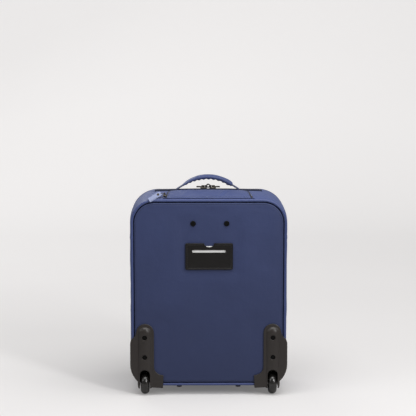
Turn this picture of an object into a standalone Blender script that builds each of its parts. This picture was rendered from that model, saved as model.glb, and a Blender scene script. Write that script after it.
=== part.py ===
"""Softside upright suitcase on two wheels, in metres, +Z up.

The rear (wheel side) faces -Y, the lid faces +Y and the floor is Z = 0. The origin is on the floor,
below the middle of the case's bounding box. A piece named left is at -X, which is on the left for
someone behind the case.
"""

import math

import bmesh
import bpy
from mathutils import Matrix, Vector

# Driving dimensions of the soft case. Its seams are rounded rectangles, and its walls bulge between them.
REAR_SEAM_Y = -0.092
FRONT_SEAM_Y = 0.076
SEAM_HALF_WIDTH = 0.172
SEAM_LOW = 0.024
SEAM_HIGH = 0.444
SIDE_CROWN = 0.007
TOP_CROWN = 0.0105
BOTTOM_CROWN = 0.004
CROWN_POWER = 0.6
TOP_CORNER = 0.050
TOP_CORNER_GROWTH = 0.016
BOTTOM_CORNER = 0.056
FABRIC = 0.003
GAP = 0.0004

# The main zip's plane splits the case into body and lid.
ZIP_Y = 0.0507
BODY_EDGE_Y = 0.0485
LID_EDGE_Y = 0.0530
ZIP_TAPE = 0.0062
ZIP_THICK = 0.0016
ZIP_SPLIT = 0.0004
ZIP_FOOT_Z = 0.062

# Panels and piping.
PANEL_HALF = 0.1665
PANEL_LOW = 0.0295
PANEL_HIGH = 0.4385
PANEL_TOP_CORNER = 0.045
PANEL_LOW_CORNER = 0.051
REAR_PANEL_Y = (-0.0940, -0.0905)
LID_PANEL_Y = (0.0742, 0.0775)
PIPING_RADIUS = 0.0031
REAR_PIPING_Y = -0.0909
FRONT_PIPING_Y = 0.0745
GUSSET_REAR_Y = -0.0874
LID_GUSSET_FRONT_Y = 0.0708

# Wheels, axles and their housings. "Out" is a distance from the case's middle plane, on either side.
WHEEL_OUT = 0.1442
WHEEL_RADIUS = 0.025
WHEEL_WIDTH = 0.0192
WHEEL_Y = -0.080
AXLE_RADIUS = 0.003
AXLE_CLEARANCE = 0.00008
WELL_HALF = 0.0113
WELL_HIGH = 0.0600
WELL_FRONT_Y = -0.052
WELL_WALL = 0.0026
HOUSING_REAR_Y = -0.0976
HOUSING_FRONT_Y = -0.040
HOUSING_LOW = 0.0168
RIB_RADIUS = 0.0156
RIB_PROUD = 0.0096
RIB_TOP = 0.1427
SCREW_HEIGHTS = {"upper": 0.1340, "lower": 0.0890}

# Telescopic trolley handle: three nested tubes on each side.
TUBE_OUT = 0.067
TUBE_Y = -0.0695
TUBE_WALL = 0.001
TUBE_CORNER = 0.003
TUBES = {"outer": (0.022, 0.014, 0.0402, 0.4120), "middle": (0.0192, 0.0112, 0.0460, 0.4165),
         "inner": (0.0164, 0.0084, 0.0520, 0.4187)}
BEZEL_HALF = 0.093
BEZEL_Y = (-0.0840, -0.0530)
BEZEL_Z = (0.4130, 0.4440)
BEZEL_WALL = 0.002
GRIP_HALF = 0.086
GRIP_Y = (-0.0812, -0.0558)
GRIP_Z = (0.4190, 0.4410)
BUTTON_HALF = 0.017
BUTTON_Y = (-0.0755, -0.0615)
BUTTON_Z = (0.4378, 0.4440)
YOKE_HALF = 0.0025
YOKE_Z = (0.4265, 0.4335)

# Zipped fabric cover over the trolley handle, and the carry handle in front of it.
COVER_HALF = 0.094
COVER_Y = (-0.0860, -0.0160)
COVER_TAPER = 0.0040
COVER_CORNER = 0.026
COVER_THICK = 0.002
COVER_ZIP_WIDTH = 0.007
BASE_STRAP_HALF = 0.122
BASE_STRAP_Y = (-0.0125, 0.0095)
BASE_STRAP_THICK = 0.0018
CARRY_X = -0.0015
CARRY_Y = -0.0015
CARRY_FOOT = (0.071, 0.4583)
CARRY_BEND = (0.056, 0.4675)
CARRY_APEX_Z = 0.4865
CARRY_TONGUE_X = 0.0600
CARRY_TONGUE_HALF = 0.0011
STRAP_HALF_THICK = 0.0012
STRAP_HALF_WIDTH = 0.011
PAD_HALF_THICK = 0.0050
PAD_HALF_WIDTH = 0.0150

TURN_STEPS = 24


# ---------------------------------------------------------------- scene, materials and small helpers

def clear_scene():
    for obj in list(bpy.data.objects):
        bpy.data.objects.remove(obj)


def collection(name):
    made = bpy.data.collections.new(name)
    bpy.context.scene.collection.children.link(made)
    return made


def material(name, colour, roughness, metallic=0.0):
    made = bpy.data.materials.new(name)
    made.use_nodes = True
    shader = made.node_tree.nodes["Principled BSDF"]
    shader.inputs["Base Color"].default_value = (*colour, 1.0)
    shader.inputs["Roughness"].default_value = roughness
    shader.inputs["Metallic"].default_value = metallic
    return made


clear_scene()
PARTS = collection("softside_suitcase")
CUTTERS = collection("cutters")
NAVY = material("navy_nylon", (0.055, 0.068, 0.14), 0.55)
PIPING = material("navy_piping", (0.05, 0.06, 0.12), 0.5)
LINING = material("grey_lining", (0.30, 0.31, 0.34), 0.7)
BLACK = material("black_plastic", (0.035, 0.031, 0.029), 0.45)
LEATHERETTE = material("black_leatherette", (0.018, 0.017, 0.016), 0.35)
RUBBER = material("tyre_rubber", (0.045, 0.045, 0.045), 0.4)
STEEL = material("steel", (0.55, 0.55, 0.56), 0.3, 1.0)
ALUMINIUM = material("aluminium", (0.62, 0.63, 0.65), 0.32, 1.0)
GUNMETAL = material("antique_metal", (0.10, 0.09, 0.08), 0.35, 1.0)
ZIP_TAPES = material("zip_tape", (0.02, 0.024, 0.045), 0.6)
BOARD = material("grey_board", (0.25, 0.25, 0.25), 0.7)
CARD = material("white_card", (0.85, 0.85, 0.85), 0.6)


def add_object(name, mesh, look, helper=False):
    obj = bpy.data.objects.new(name, mesh)
    (CUTTERS if helper else PARTS).objects.link(obj)
    obj.data.materials.append(look or BLACK)
    if helper:
        obj.hide_render = True
        obj.display_type = "WIRE"
    return obj


def mesh_object(name, bm, look=None, helper=False):
    bmesh.ops.recalc_face_normals(bm, faces=bm.faces)
    mesh = bpy.data.meshes.new(name)
    bm.to_mesh(mesh)
    bm.free()
    return add_object(name, mesh, look, helper)


def box(name, low, high, look=None, helper=False):
    bm = bmesh.new()
    size = [b - a for a, b in zip(low, high)]
    middle = [(a + b) / 2 for a, b in zip(low, high)]
    bmesh.ops.create_cube(bm, size=1.0, matrix=Matrix.Translation(middle) @ Matrix.Diagonal((*size, 1.0)))
    return mesh_object(name, bm, look, helper)


AXIS_TURN = {"X": Matrix.Rotation(math.pi / 2, 4, "Y"), "Y": Matrix.Rotation(-math.pi / 2, 4, "X"),
             "Z": Matrix.Identity(4)}


def cylinder(name, centre, axis, radius, length, look=None, helper=False, steps=TURN_STEPS, radius_end=None):
    bm = bmesh.new()
    bmesh.ops.create_cone(bm, cap_ends=True, segments=steps, radius1=radius,
                          radius2=radius if radius_end is None else radius_end, depth=length,
                          matrix=Matrix.Translation(centre) @ AXIS_TURN[axis])
    return mesh_object(name, bm, look, helper)


def turned(name, profile, centre, look, steps=32):
    """A closed ring profile of (radius, height) points, turned about the X axis through centre."""
    bm = bmesh.new()
    verts = [bm.verts.new((radius, 0.0, height)) for radius, height in profile]
    for a, b in zip(verts, verts[1:] + verts[:1]):
        bm.edges.new((a, b))
    mesh = bpy.data.meshes.new(name)
    bm.to_mesh(mesh)
    bm.free()
    obj = add_object(name, mesh, look)
    screw = obj.modifiers.new("turn", "SCREW")
    screw.steps = screw.render_steps = steps
    screw.use_merge_vertices = True
    screw.merge_threshold = 0.00002
    obj = baked(obj)
    obj.data.transform(Matrix.Translation(centre) @ AXIS_TURN["X"])
    return obj


def outline(name, loops, depth, look=None, helper=False, facing="Y", at=0.0):
    """Flat outlines (the edge, then any holes) made depth thick, centred on at along facing."""
    curve = bpy.data.curves.new(name, "CURVE")
    curve.dimensions = "2D"
    curve.fill_mode = "BOTH"
    curve.extrude = depth / 2
    for loop in loops:
        spline = curve.splines.new("POLY")
        spline.points.add(len(loop) - 1)
        for point, (u, v) in zip(spline.points, loop):
            point.co = (u, v, 0.0, 1.0)
        spline.use_cyclic_u = True
    obj = add_object(name, curve, look, helper)
    # The outline's own (u, v) is (X, Z) facing Y, (Y, Z) facing X, and (X, Y) facing Z.
    turn = {"Y": Matrix(((1, 0, 0, 0), (0, 0, -1, 0), (0, 1, 0, 0), (0, 0, 0, 1))),
            "X": Matrix(((0, 0, 1, 0), (1, 0, 0, 0), (0, 1, 0, 0), (0, 0, 0, 1))),
            "Z": Matrix.Identity(4)}[facing]
    shift = Vector([at if letter == facing else 0.0 for letter in "XYZ"])
    obj.matrix_world = Matrix.Translation(shift) @ turn
    bpy.context.view_layer.update()
    return baked(obj)


def baked(obj):
    """The object with its modifiers or curve settings made into a plain closed mesh."""
    bpy.context.view_layer.update()
    graph = bpy.context.evaluated_depsgraph_get()
    mesh = bpy.data.meshes.new_from_object(obj.evaluated_get(graph))
    bm = bmesh.new()
    bm.from_mesh(mesh)
    bmesh.ops.remove_doubles(bm, verts=bm.verts, dist=0.000002)
    bmesh.ops.recalc_face_normals(bm, faces=bm.faces)
    bm.to_mesh(mesh)
    bm.free()
    mesh.transform(obj.matrix_world)
    name, looks, helper = obj.name, list(obj.data.materials), obj.hide_render
    bpy.data.objects.remove(obj)
    made = add_object(name, mesh, None, helper)
    made.data.materials.clear()
    made.data.materials.append(looks[0])
    return made


def boolean(obj, other, operation="DIFFERENCE"):
    modifier = obj.modifiers.new(operation.lower(), "BOOLEAN")
    modifier.operation = operation
    modifier.object = other
    return baked(obj)


def bevelled(obj, width, segments=2):
    modifier = obj.modifiers.new("round", "BEVEL")
    modifier.width = width
    modifier.segments = segments
    modifier.limit_method = "ANGLE"
    return baked(obj)


def loft(name, loops, look=None, ring=False, helper=False):
    """A skin through loops of equal length: a ring joins the last to the first, or both ends are capped."""
    bm = bmesh.new()
    rows = [[bm.verts.new(point) for point in loop] for loop in loops]
    pairs = list(zip(rows, rows[1:] + (rows[:1] if ring else [])))
    for row, following in pairs:
        for i in range(len(row)):
            bm.faces.new((row[i - 1], row[i], following[i], following[i - 1]))
    if not ring:
        bm.faces.new(rows[0])
        bm.faces.new(rows[-1])
    return mesh_object(name, bm, look, helper)


# ---------------------------------------------------------------- outlines of the soft case

def rounded_rectangle(half, low, high, high_corner, low_corner=None, steps=6):
    """Points (x, z) round a rectangle from -half to half and low to high, with corners of the two radii."""
    low_corner = high_corner if low_corner is None else low_corner
    corners = ((half - high_corner, high - high_corner, high_corner, 0),
               (high_corner - half, high - high_corner, high_corner, 90),
               (low_corner - half, low + low_corner, low_corner, 180),
               (half - low_corner, low + low_corner, low_corner, 270))
    points = []
    for x, z, radius, start in corners:
        for i in range(steps + 1):
            angle = math.radians(start + 90 * i / steps)
            points.append((x + radius * math.cos(angle), z + radius * math.sin(angle)))
    return points


def crown(y):
    """How far the soft walls bulge at depth y, as a share of the full bulge."""
    share = (y - REAR_SEAM_Y) / (FRONT_SEAM_Y - REAR_SEAM_Y)
    return max(0.0, math.sin(math.pi * min(1.0, max(0.0, share)))) ** CROWN_POWER


def top_z(y):
    return SEAM_HIGH + TOP_CROWN * crown(y)


def top_corner(y):
    """The top corners are rounder where the walls bulge."""
    return TOP_CORNER + TOP_CORNER_GROWTH * crown(y)


def section(y, inset=0.0):
    """The soft case's outline at depth y, moved inwards by inset, as points in space."""
    bulge = crown(y)
    points = rounded_rectangle(SEAM_HALF_WIDTH + SIDE_CROWN * bulge - inset,
                               SEAM_LOW - BOTTOM_CROWN * bulge + inset, top_z(y) - inset,
                               top_corner(y) - inset, BOTTOM_CORNER - inset)
    return [(x, y, z) for x, z in points]


def spread(start, end, count):
    return [start + (end - start) * i / (count - 1) for i in range(count)]


def band(name, depths, inset, thickness, look=None, helper=False):
    """A ring of the case's wall between the first and last depth."""
    loops = [section(y, inset) for y in depths] + [section(y, inset + thickness) for y in reversed(depths)]
    return loft(name, loops, look, ring=True, helper=helper)


def piping_path(y, half, low, high):
    return [(x, y, z) for x, z in rounded_rectangle(half, low, high, TOP_CORNER, BOTTOM_CORNER)]


def piping(name, y, radius, look=None, helper=False):
    """A cord of the given radius round a seam."""
    curve = bpy.data.curves.new(name, "CURVE")
    curve.dimensions = "3D"
    curve.bevel_depth = radius
    curve.bevel_resolution = 1
    spline = curve.splines.new("POLY")
    path = piping_path(y, SEAM_HALF_WIDTH - 0.0005, SEAM_LOW + 0.0005, SEAM_HIGH - 0.0005)
    spline.points.add(len(path) - 1)
    for point, place in zip(spline.points, path):
        point.co = (*place, 1.0)
    spline.use_cyclic_u = True
    return baked(add_object(name, curve, look, helper))


# ---------------------------------------------------------------- cutters shared by several pieces

def well_cutter(side):
    out, gap = WHEEL_OUT, GAP
    half = WELL_HALF + WELL_WALL + gap
    xs = sorted((side * (out - half), side * (out + half)))
    return box(f"well_cutter_{side}", (xs[0], -0.130, -0.010), (xs[1], WELL_FRONT_Y + WELL_WALL + gap,
               WELL_HIGH + WELL_WALL + gap), helper=True)


WELLS = [well_cutter(-1), well_cutter(1)]


STUD_HOLES = [cylinder(f"stud_hole_{side}", (side * TUBE_OUT, TUBE_Y, 0.0200), "Z", 0.0072, 0.0210,
                       helper=True)
              for side in (-1, 1)]


BEZEL_SCREW = (0.0373, 0.3925)
BEZEL_SCREW_X = 0.0025
SHANK_RADIUS = 0.0015
SCREW_PLACES = [(BEZEL_SCREW_X + side * BEZEL_SCREW[0], BEZEL_SCREW[1]) for side in (-1, 1)]
SCREW_PLACES += [(side * WHEEL_OUT, z) for side in (-1, 1) for z in SCREW_HEIGHTS.values()]
SCREW_HOLES = [cylinder(f"screw_hole_{i}", (x, -0.0900, z), "Y", SHANK_RADIUS + GAP, 0.0240,
                        helper=True, steps=10)
               for i, (x, z) in enumerate(SCREW_PLACES)]


def cut_for_screws(obj, places):
    for i in places:
        obj = boolean(obj, SCREW_HOLES[i])
    return obj


def cut_for_wheels(obj):
    for cutter in WELLS:
        obj = boolean(obj, cutter)
    return obj


def cut_for_studs(obj):
    for cutter in STUD_HOLES:
        obj = boolean(obj, cutter)
    return obj


def bezel_opening():
    return box("bezel_opening", (-BEZEL_HALF - GAP, BEZEL_Y[0] - GAP, 0.40),
               (BEZEL_HALF + GAP, BEZEL_Y[1] + GAP, 0.50), helper=True)


BEZEL_OPENING = bezel_opening()


# ---------------------------------------------------------------- soft case

def rear_panel():
    edge = rounded_rectangle(PANEL_HALF, PANEL_LOW, PANEL_HIGH, PANEL_TOP_CORNER, PANEL_LOW_CORNER)
    y0, y1 = REAR_PANEL_Y
    panel = outline("rear_panel", [edge], y1 - y0, NAVY, at=(y0 + y1) / 2)
    return cut_for_screws(cut_for_wheels(panel), range(6))


def frame_board():
    """One stiffener, bent from the rear panel onto the bottom."""
    back = outline("frame_board", [rounded_rectangle(0.160, 0.0276, 0.432, 0.045)], 0.003, BOARD, at=-0.0885)
    floor = box("board_floor", (-0.112, -0.0900, 0.0276), (0.112, 0.044, 0.0302), helper=True)
    board = cut_for_studs(cut_for_wheels(boolean(back, floor, "UNION")))
    return cut_for_screws(board, range(6))


def body_gusset():
    depths = [GUSSET_REAR_Y, -0.080, -0.068, -0.050, -0.026, 0.0, 0.024, BODY_EDGE_Y]
    gusset = band("body_gusset", depths, 0.0, FABRIC, NAVY)
    return cut_for_studs(cut_for_wheels(boolean(gusset, BEZEL_OPENING)))


def rear_piping(name, low, high):
    """The rear seam's cord between two heights. The wheel wells interrupt it at the bottom corners."""
    cord = cut_for_wheels(piping(name, REAR_PIPING_Y, PIPING_RADIUS, PIPING))
    keep = box(f"{name}_keep", (-0.3, -0.2, low), (0.3, 0.1, high), helper=True)
    return boolean(cord, keep, "INTERSECT")


def body_lining():
    """A thin tub, open at the front, that keeps luggage clear of the board and the trolley tubes."""
    def loop(y, inset):
        x_inset = FABRIC + 0.002 + inset
        points = rounded_rectangle(SEAM_HALF_WIDTH + SIDE_CROWN * crown(y) - x_inset, 0.031 + inset,
                                   top_z(y) - x_inset, top_corner(y) - x_inset, 0.050)
        return [(x, y, z) for x, z in points]

    back, front, skin = -0.0485, 0.0462, 0.001
    outside = [loop(y, 0.0) for y in spread(back, front, 5)]
    inside = [loop(y, skin) for y in spread(front, back + skin, 5)]
    return loft("body_lining", outside + inside, LINING)


def zip_side(name, low_y, high_y):
    """One half of the main zip: a flat tape up one side, across the top and down the other."""
    tape = band(name, spread(low_y, high_y, 3), -GAP - ZIP_THICK, ZIP_THICK, ZIP_TAPES)
    below = box(f"{name}_foot_cutter", (-0.30, -0.10, -0.05), (0.30, 0.20, ZIP_FOOT_Z), helper=True)
    return boolean(tape, below)


def lid_gusset():
    return band("lid_gusset", [LID_EDGE_Y, 0.059, 0.065, LID_GUSSET_FRONT_Y], 0.0, FABRIC, NAVY)


def lid_panel():
    edge = rounded_rectangle(PANEL_HALF, PANEL_LOW, PANEL_HIGH, PANEL_TOP_CORNER, PANEL_LOW_CORNER)
    y0, y1 = LID_PANEL_Y
    return outline("lid_panel", [edge], y1 - y0, NAVY, at=(y0 + y1) / 2)


def lid_lining():
    """Cloth over the inside of the lid's panel."""
    inset = FABRIC + 0.0010
    edge = rounded_rectangle(SEAM_HALF_WIDTH - inset, SEAM_LOW + inset, SEAM_HIGH - inset, TOP_CORNER - inset,
                             BOTTOM_CORNER - inset)
    return outline("lid_lining", [edge], 0.001, LINING, at=0.0692)


def pocket(name, low, high, proud):
    body = box(name, (-0.150, LID_PANEL_Y[1] + GAP, low), (0.150, proud, high), NAVY)
    return bevelled(body, 0.011, 3)


def pocket_zip(name, z, front_y):
    return box(name, (-0.1450, front_y, z - 0.0030), (0.1450, front_y + 0.0010, z + 0.0030), ZIP_TAPES)


def pocket_slider(name, z, front_y):
    """A slider with its pull tab hanging down in front of the pocket's zip."""
    slider = box(name, (-0.141, front_y, z - 0.0035), (-0.129, front_y + 0.0030, z + 0.0035), GUNMETAL)
    tab = box(f"{name}_tab", (-0.138, front_y + 0.0008, z - 0.030), (-0.132, front_y + 0.0026, z + 0.001),
              helper=True)
    return boolean(slider, tab, "UNION")


# ---------------------------------------------------------------- top: cover, its zip and the carry handle

def cover_outline(half, front, corner, tail=0.0):
    """A U in plan: square at the rear, drawn in a little and rounded at the two front corners."""
    rear = COVER_Y[0]
    points = [(half, rear - tail), (half, rear)]
    narrow = half - COVER_TAPER - corner
    for x, start in ((narrow, 0), (-narrow, 90)):
        for i in range(7):
            angle = math.radians(start + 15 * i)
            points.append((x + corner * math.cos(angle), front - corner + corner * math.sin(angle)))
    points += [(-half, rear), (-half, rear - tail)]
    return points if tail else points[1:-1]


def top_skin(name, thickness, look, plan):
    """The part of a thin layer over the case's top that lies inside a plan outline."""
    depths = [GUSSET_REAR_Y] + spread(-0.084, 0.020, 11)
    layer = band(name, depths, -GAP - thickness, thickness, look)
    prism = outline(f"{name}_plan", plan, 0.10, helper=True, facing="Z", at=0.46)
    return boolean(layer, prism, "INTERSECT")


def handle_cover():
    plan = cover_outline(COVER_HALF, COVER_Y[1], COVER_CORNER)
    return top_skin("handle_cover", COVER_THICK, NAVY, [plan])


def cover_zip():
    inner = cover_outline(COVER_HALF + GAP, COVER_Y[1] + GAP, COVER_CORNER + GAP, tail=0.010)
    width = COVER_ZIP_WIDTH
    outer = cover_outline(COVER_HALF + width, COVER_Y[1] + 0.0028, COVER_CORNER + width)
    return boolean(top_skin("cover_zip", ZIP_THICK, ZIP_TAPES, [outer]),
                   outline("cover_zip_inside", [inner], 0.12, helper=True, facing="Z", at=0.46))


def carry_base_strap():
    (y0, y1), half = BASE_STRAP_Y, BASE_STRAP_HALF
    plan = [(-half, y0), (half, y0), (half, y1), (-half, y1)]
    return top_skin("carry_base_strap", BASE_STRAP_THICK, NAVY, [plan])


def arch_line():
    """The carry handle's middle line (x, z): straight feet, then one arc through the apex."""
    foot_x, foot_z = CARRY_FOOT
    bend_x, bend_z = CARRY_BEND
    rise = CARRY_APEX_Z - bend_z
    radius = (bend_x ** 2 + rise ** 2) / (2 * rise)
    sweep = math.asin(bend_x / radius)
    arc = [(CARRY_X + radius * math.sin(a), CARRY_APEX_Z - radius + radius * math.cos(a))
           for a in spread(-sweep, sweep, 13)]
    return [(CARRY_X - foot_x, foot_z)] + arc + [(CARRY_X + foot_x, foot_z)]


def thick_line(points, half):
    """A closed outline lying half to each side of an open line of points."""
    above, below = [], []
    for i, (x, z) in enumerate(points):
        before, after = points[max(0, i - 1)], points[min(len(points) - 1, i + 1)]
        along = Vector((after[0] - before[0], after[1] - before[1])).normalized()
        above.append((x - along.y * half, z + along.x * half))
        below.append((x + along.y * half, z - along.x * half))
    return above + below[::-1]


def carry_strap():
    """Webbing that narrows to a tongue at each foot, so that it can lean to either side."""
    strap = outline("carry_strap", [thick_line(arch_line(), STRAP_HALF_THICK)], 2 * STRAP_HALF_WIDTH, NAVY,
                    at=CARRY_Y)
    for side in (-1, 1):
        for edge in (-1, 1):
            xs = sorted((CARRY_X + side * CARRY_TONGUE_X, CARRY_X + side * 0.090))
            ys = sorted((CARRY_Y + edge * CARRY_TONGUE_HALF, CARRY_Y + edge * 0.020))
            strap = boolean(strap, box(f"tongue_{side}_{edge}", (xs[0], ys[0], 0.45), (xs[1], ys[1], 0.48),
                                       helper=True))
    return strap


def carry_grip():
    """A padded sleeve round the strap's arc."""
    pad = outline("carry_grip", [thick_line(arch_line()[1:-1], PAD_HALF_THICK)], 2 * PAD_HALF_WIDTH, NAVY,
                  at=CARRY_Y)
    bore = outline("carry_grip_bore", [thick_line(arch_line(), STRAP_HALF_THICK + GAP)],
                   2 * (STRAP_HALF_WIDTH + GAP), helper=True, at=CARRY_Y)
    return boolean(bevelled(pad, 0.002, 1), bore)


# ---------------------------------------------------------------- zip sliders

def slider_body(name, x, y, z, along):
    """A slider's top plate with the bridge that its pull hangs from. Its foot is at height z."""
    long, short, plate = 0.0120, 0.0074, 0.0022
    dx, dy = (long, short) if along == "X" else (short, long)
    body = bevelled(box(name, (x - dx / 2, y - dy / 2, z), (x + dx / 2, y + dy / 2, z + plate), GUNMETAL),
                    0.0008, 1)
    bx, by = (0.0064, 0.0022) if along == "X" else (0.0022, 0.0064)
    bridge = box(f"{name}_bridge", (x - bx / 2, y - by / 2, z + 0.001), (x + bx / 2, y + by / 2, z + 0.0066),
                 helper=True)
    body = boolean(body, bridge, "UNION")
    gx, gy = (0.0034, 0.010) if along == "X" else (0.010, 0.0034)
    eye = box(f"{name}_eye", (x - gx / 2, y - gy / 2, z + plate), (x + gx / 2, y + gy / 2, z + 0.0052),
              helper=True)
    return boolean(body, eye)


def main_slider_z():
    """Just above both zip tapes, whose thin top layer follows the crowned top."""
    return top_z(ZIP_Y - 0.0037) + GAP + ZIP_THICK + GAP


MAIN_SLIDER_OUT = 0.0118
EYE_HEIGHT = 0.0037


def main_slider(side, name):
    """A slider with an upright padlock ring. The two rings stand one behind the other in the middle."""
    slider = slider_body(f"main_slider_{name}", side * MAIN_SLIDER_OUT, ZIP_Y, main_slider_z(), "X")
    y, z = ZIP_Y + side * 0.0010, main_slider_z() + 0.0060
    outside = cylinder(f"ring_{name}", (0.0, y, z), "Y", 0.0042, 0.0014, helper=True)
    inside = cylinder(f"ring_hole_{name}", (0.0, y, z), "Y", 0.0027, 0.0030, helper=True)
    ring = boolean(outside, inside)
    tail = box(f"ring_tail_{name}", (min(side * 0.0034, side * 0.0070), y - 0.0007, main_slider_z()),
               (max(side * 0.0034, side * 0.0070), y + 0.0007, main_slider_z() + 0.0072), helper=True)
    return boolean(boolean(slider, tail, "UNION"), ring, "UNION")


def pull_plate(name, look, length, half):
    """A flat pull along +X whose slot clears a slider's bridge, with its bar along Y through the origin."""
    plate = box(name, (0.0, -0.0030, -0.0007), (0.0090, 0.0030, 0.0007), look)
    slot = box(f"{name}_slot", (-0.0010, -0.0015, -0.0030), (0.0050, 0.0015, 0.0030), helper=True)
    plate = boolean(plate, slot)
    bar = cylinder(f"{name}_bar", (0.0, 0.0, 0.0), "Y", 0.0007, 0.0060, helper=True, steps=8)
    plate = boolean(plate, bar, "UNION")
    paddle = box(f"{name}_paddle", (0.0080, -half, -0.0008), (length, half, 0.0008), helper=True)
    return boolean(plate, paddle, "UNION")


def main_pull(side, name):
    """A metal pull lying outwards along the zip, turning on its bar in the slider's eye."""
    pull = pull_plate(f"main_pull_{name}", GUNMETAL, 0.0150, 0.0036)
    place = Matrix.Translation((side * MAIN_SLIDER_OUT, ZIP_Y, main_slider_z() + EYE_HEIGHT))
    pull.data.transform(place @ Matrix.Rotation(0.0 if side > 0 else math.pi, 4, "Z"))
    return pull


COVER_SLIDER_X = -0.0985
COVER_SLIDER_Y = -0.0780
COVER_PULL_X = -0.1085
COVER_PULL_ALONG = (-0.81, -0.566, -0.152)
COVER_PULL_FACE = (0.0, -0.259, 0.966)


def cover_slider_z():
    return top_z(COVER_SLIDER_Y + 0.006) + GAP + COVER_THICK + GAP


def cover_slider():
    return slider_body("cover_slider", COVER_SLIDER_X, COVER_SLIDER_Y, cover_slider_z(), "Y")


def cover_pull():
    """A cloth tab lying down over the rear seam, with an eyelet, on a bar through the slider's eye."""
    along = Vector(COVER_PULL_ALONG).normalized()
    face = Vector(COVER_PULL_FACE).normalized()
    face = (face - along * face.dot(along)).normalized()
    turn = Matrix((along, face.cross(along), face)).transposed().to_4x4()
    y, z = COVER_SLIDER_Y, cover_slider_z() + EYE_HEIGHT
    place = Matrix.Translation((COVER_PULL_X, y, z)) @ turn
    tab = box("cover_pull", (0.0, -0.0050, -0.0011), (0.0300, 0.0050, 0.0011), NAVY)
    tab.data.transform(place)
    hole = cylinder("cover_pull_hole", (0.0060, 0.0, 0.0), "Z", 0.0021, 0.01, helper=True, steps=16)
    hole.data.transform(place)
    end = COVER_SLIDER_X + 0.0025
    bar = cylinder("cover_pull_bar", ((COVER_PULL_X + end) / 2, y, z), "X", 0.0008, end - COVER_PULL_X,
                   helper=True, steps=8)
    return boolean(boolean(tab, hole), bar, "UNION")


# ---------------------------------------------------------------- trolley handle

def tube(stage, side, name):
    wide, deep, low, high = TUBES[stage]
    def ring(shrink):
        points = rounded_rectangle(wide / 2 - shrink, -deep / 2 + shrink, deep / 2 - shrink,
                                   TUBE_CORNER - shrink, steps=2)
        return [(side * TUBE_OUT + x, TUBE_Y + y) for x, y in points]
    return outline(f"{stage}_tube_{name}", [ring(0.0), ring(TUBE_WALL)], high - low, ALUMINIUM, facing="Z",
                   at=(low + high) / 2)


def trolley_bezel():
    """A tray let into the top, with a tab down the board that takes the two rear screws."""
    (y0, y1), (z0, z1), wall = BEZEL_Y, BEZEL_Z, BEZEL_WALL
    tray = box("trolley_bezel", (-BEZEL_HALF, y0, z0), (BEZEL_HALF, y1, z1), BLACK)
    inside = box("bezel_inside", (-BEZEL_HALF + wall, y0 + wall, z0 + 0.003),
                 (BEZEL_HALF - wall, y1 - wall, 0.50), helper=True)
    tray = boolean(tray, inside)
    tab = box("bezel_tab", (-0.050, y0, 0.384), (0.050, y0 + 0.003, z0 + 0.001), helper=True)
    tray = boolean(tray, tab, "UNION")
    wide, deep = TUBES["middle"][0] + 0.0008, TUBES["middle"][1] + 0.0008
    for side in (-1, 1):
        x = side * TUBE_OUT
        hole = box(f"bezel_hole_{side}", (x - wide / 2, TUBE_Y - deep / 2, 0.40),
                   (x + wide / 2, TUBE_Y + deep / 2, 0.43), helper=True)
        tray = boolean(tray, hole)
    return cut_for_screws(tray, (0, 1))


def tube_foot_bar():
    """The bar that joins the tubes' feet, with two studs that come out under the case."""
    bar = box("tube_foot_bar", (-0.082, TUBE_Y - 0.009, 0.0306), (0.082, TUBE_Y + 0.009, 0.0398), BLACK)
    for side in (-1, 1):
        stud = cylinder(f"stud_{side}", (side * TUBE_OUT, TUBE_Y, 0.0230), "Z", 0.0058, 0.0190, helper=True,
                        radius_end=0.0066)
        bar = boolean(bar, stud, "UNION")
    return bar


def trolley_grip():
    (y0, y1), (z0, z1) = GRIP_Y, GRIP_Z
    grip = bevelled(box("trolley_grip", (-GRIP_HALF, y0, z0), (GRIP_HALF, y1, z1), BLACK), 0.006, 3)
    well = box("button_well", (-BUTTON_HALF - GAP, BUTTON_Y[0] - GAP, 0.4342),
               (BUTTON_HALF + GAP, BUTTON_Y[1] + GAP, 0.50), helper=True)
    channel = box("yoke_channel", (-TUBE_OUT - 0.0055, TUBE_Y - YOKE_HALF - 0.0008, 0.40),
                  (TUBE_OUT + 0.0055, TUBE_Y + YOKE_HALF + 0.0008, 0.4345), helper=True)
    return boolean(boolean(grip, well), channel)


def trolley_button():
    """The press button, whose stem rests on the yoke below it."""
    low = (-BUTTON_HALF, BUTTON_Y[0], BUTTON_Z[0])
    button = bevelled(box("trolley_button", low, (BUTTON_HALF, BUTTON_Y[1], BUTTON_Z[1]), BLACK), 0.0015, 2)
    stem = box("button_stem", (-0.006, TUBE_Y - 0.002, YOKE_Z[1] + 0.0002), (0.006, TUBE_Y + 0.002, 0.440),
               helper=True)
    return boolean(button, stem, "UNION")


def release_yoke():
    """A bar inside the grip with a rod down each inner tube to its lock pin."""
    yoke = box("release_yoke", (-TUBE_OUT - 0.003, TUBE_Y - YOKE_HALF, YOKE_Z[0]),
               (TUBE_OUT + 0.003, TUBE_Y + YOKE_HALF, YOKE_Z[1]), STEEL)
    for side in (-1, 1):
        rod = cylinder(f"rod_{side}", (side * TUBE_OUT, TUBE_Y, 0.2450), "Z", 0.0020, 0.3700,
                       helper=True, steps=8)
        yoke = boolean(yoke, rod, "UNION")
    return yoke


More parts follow.
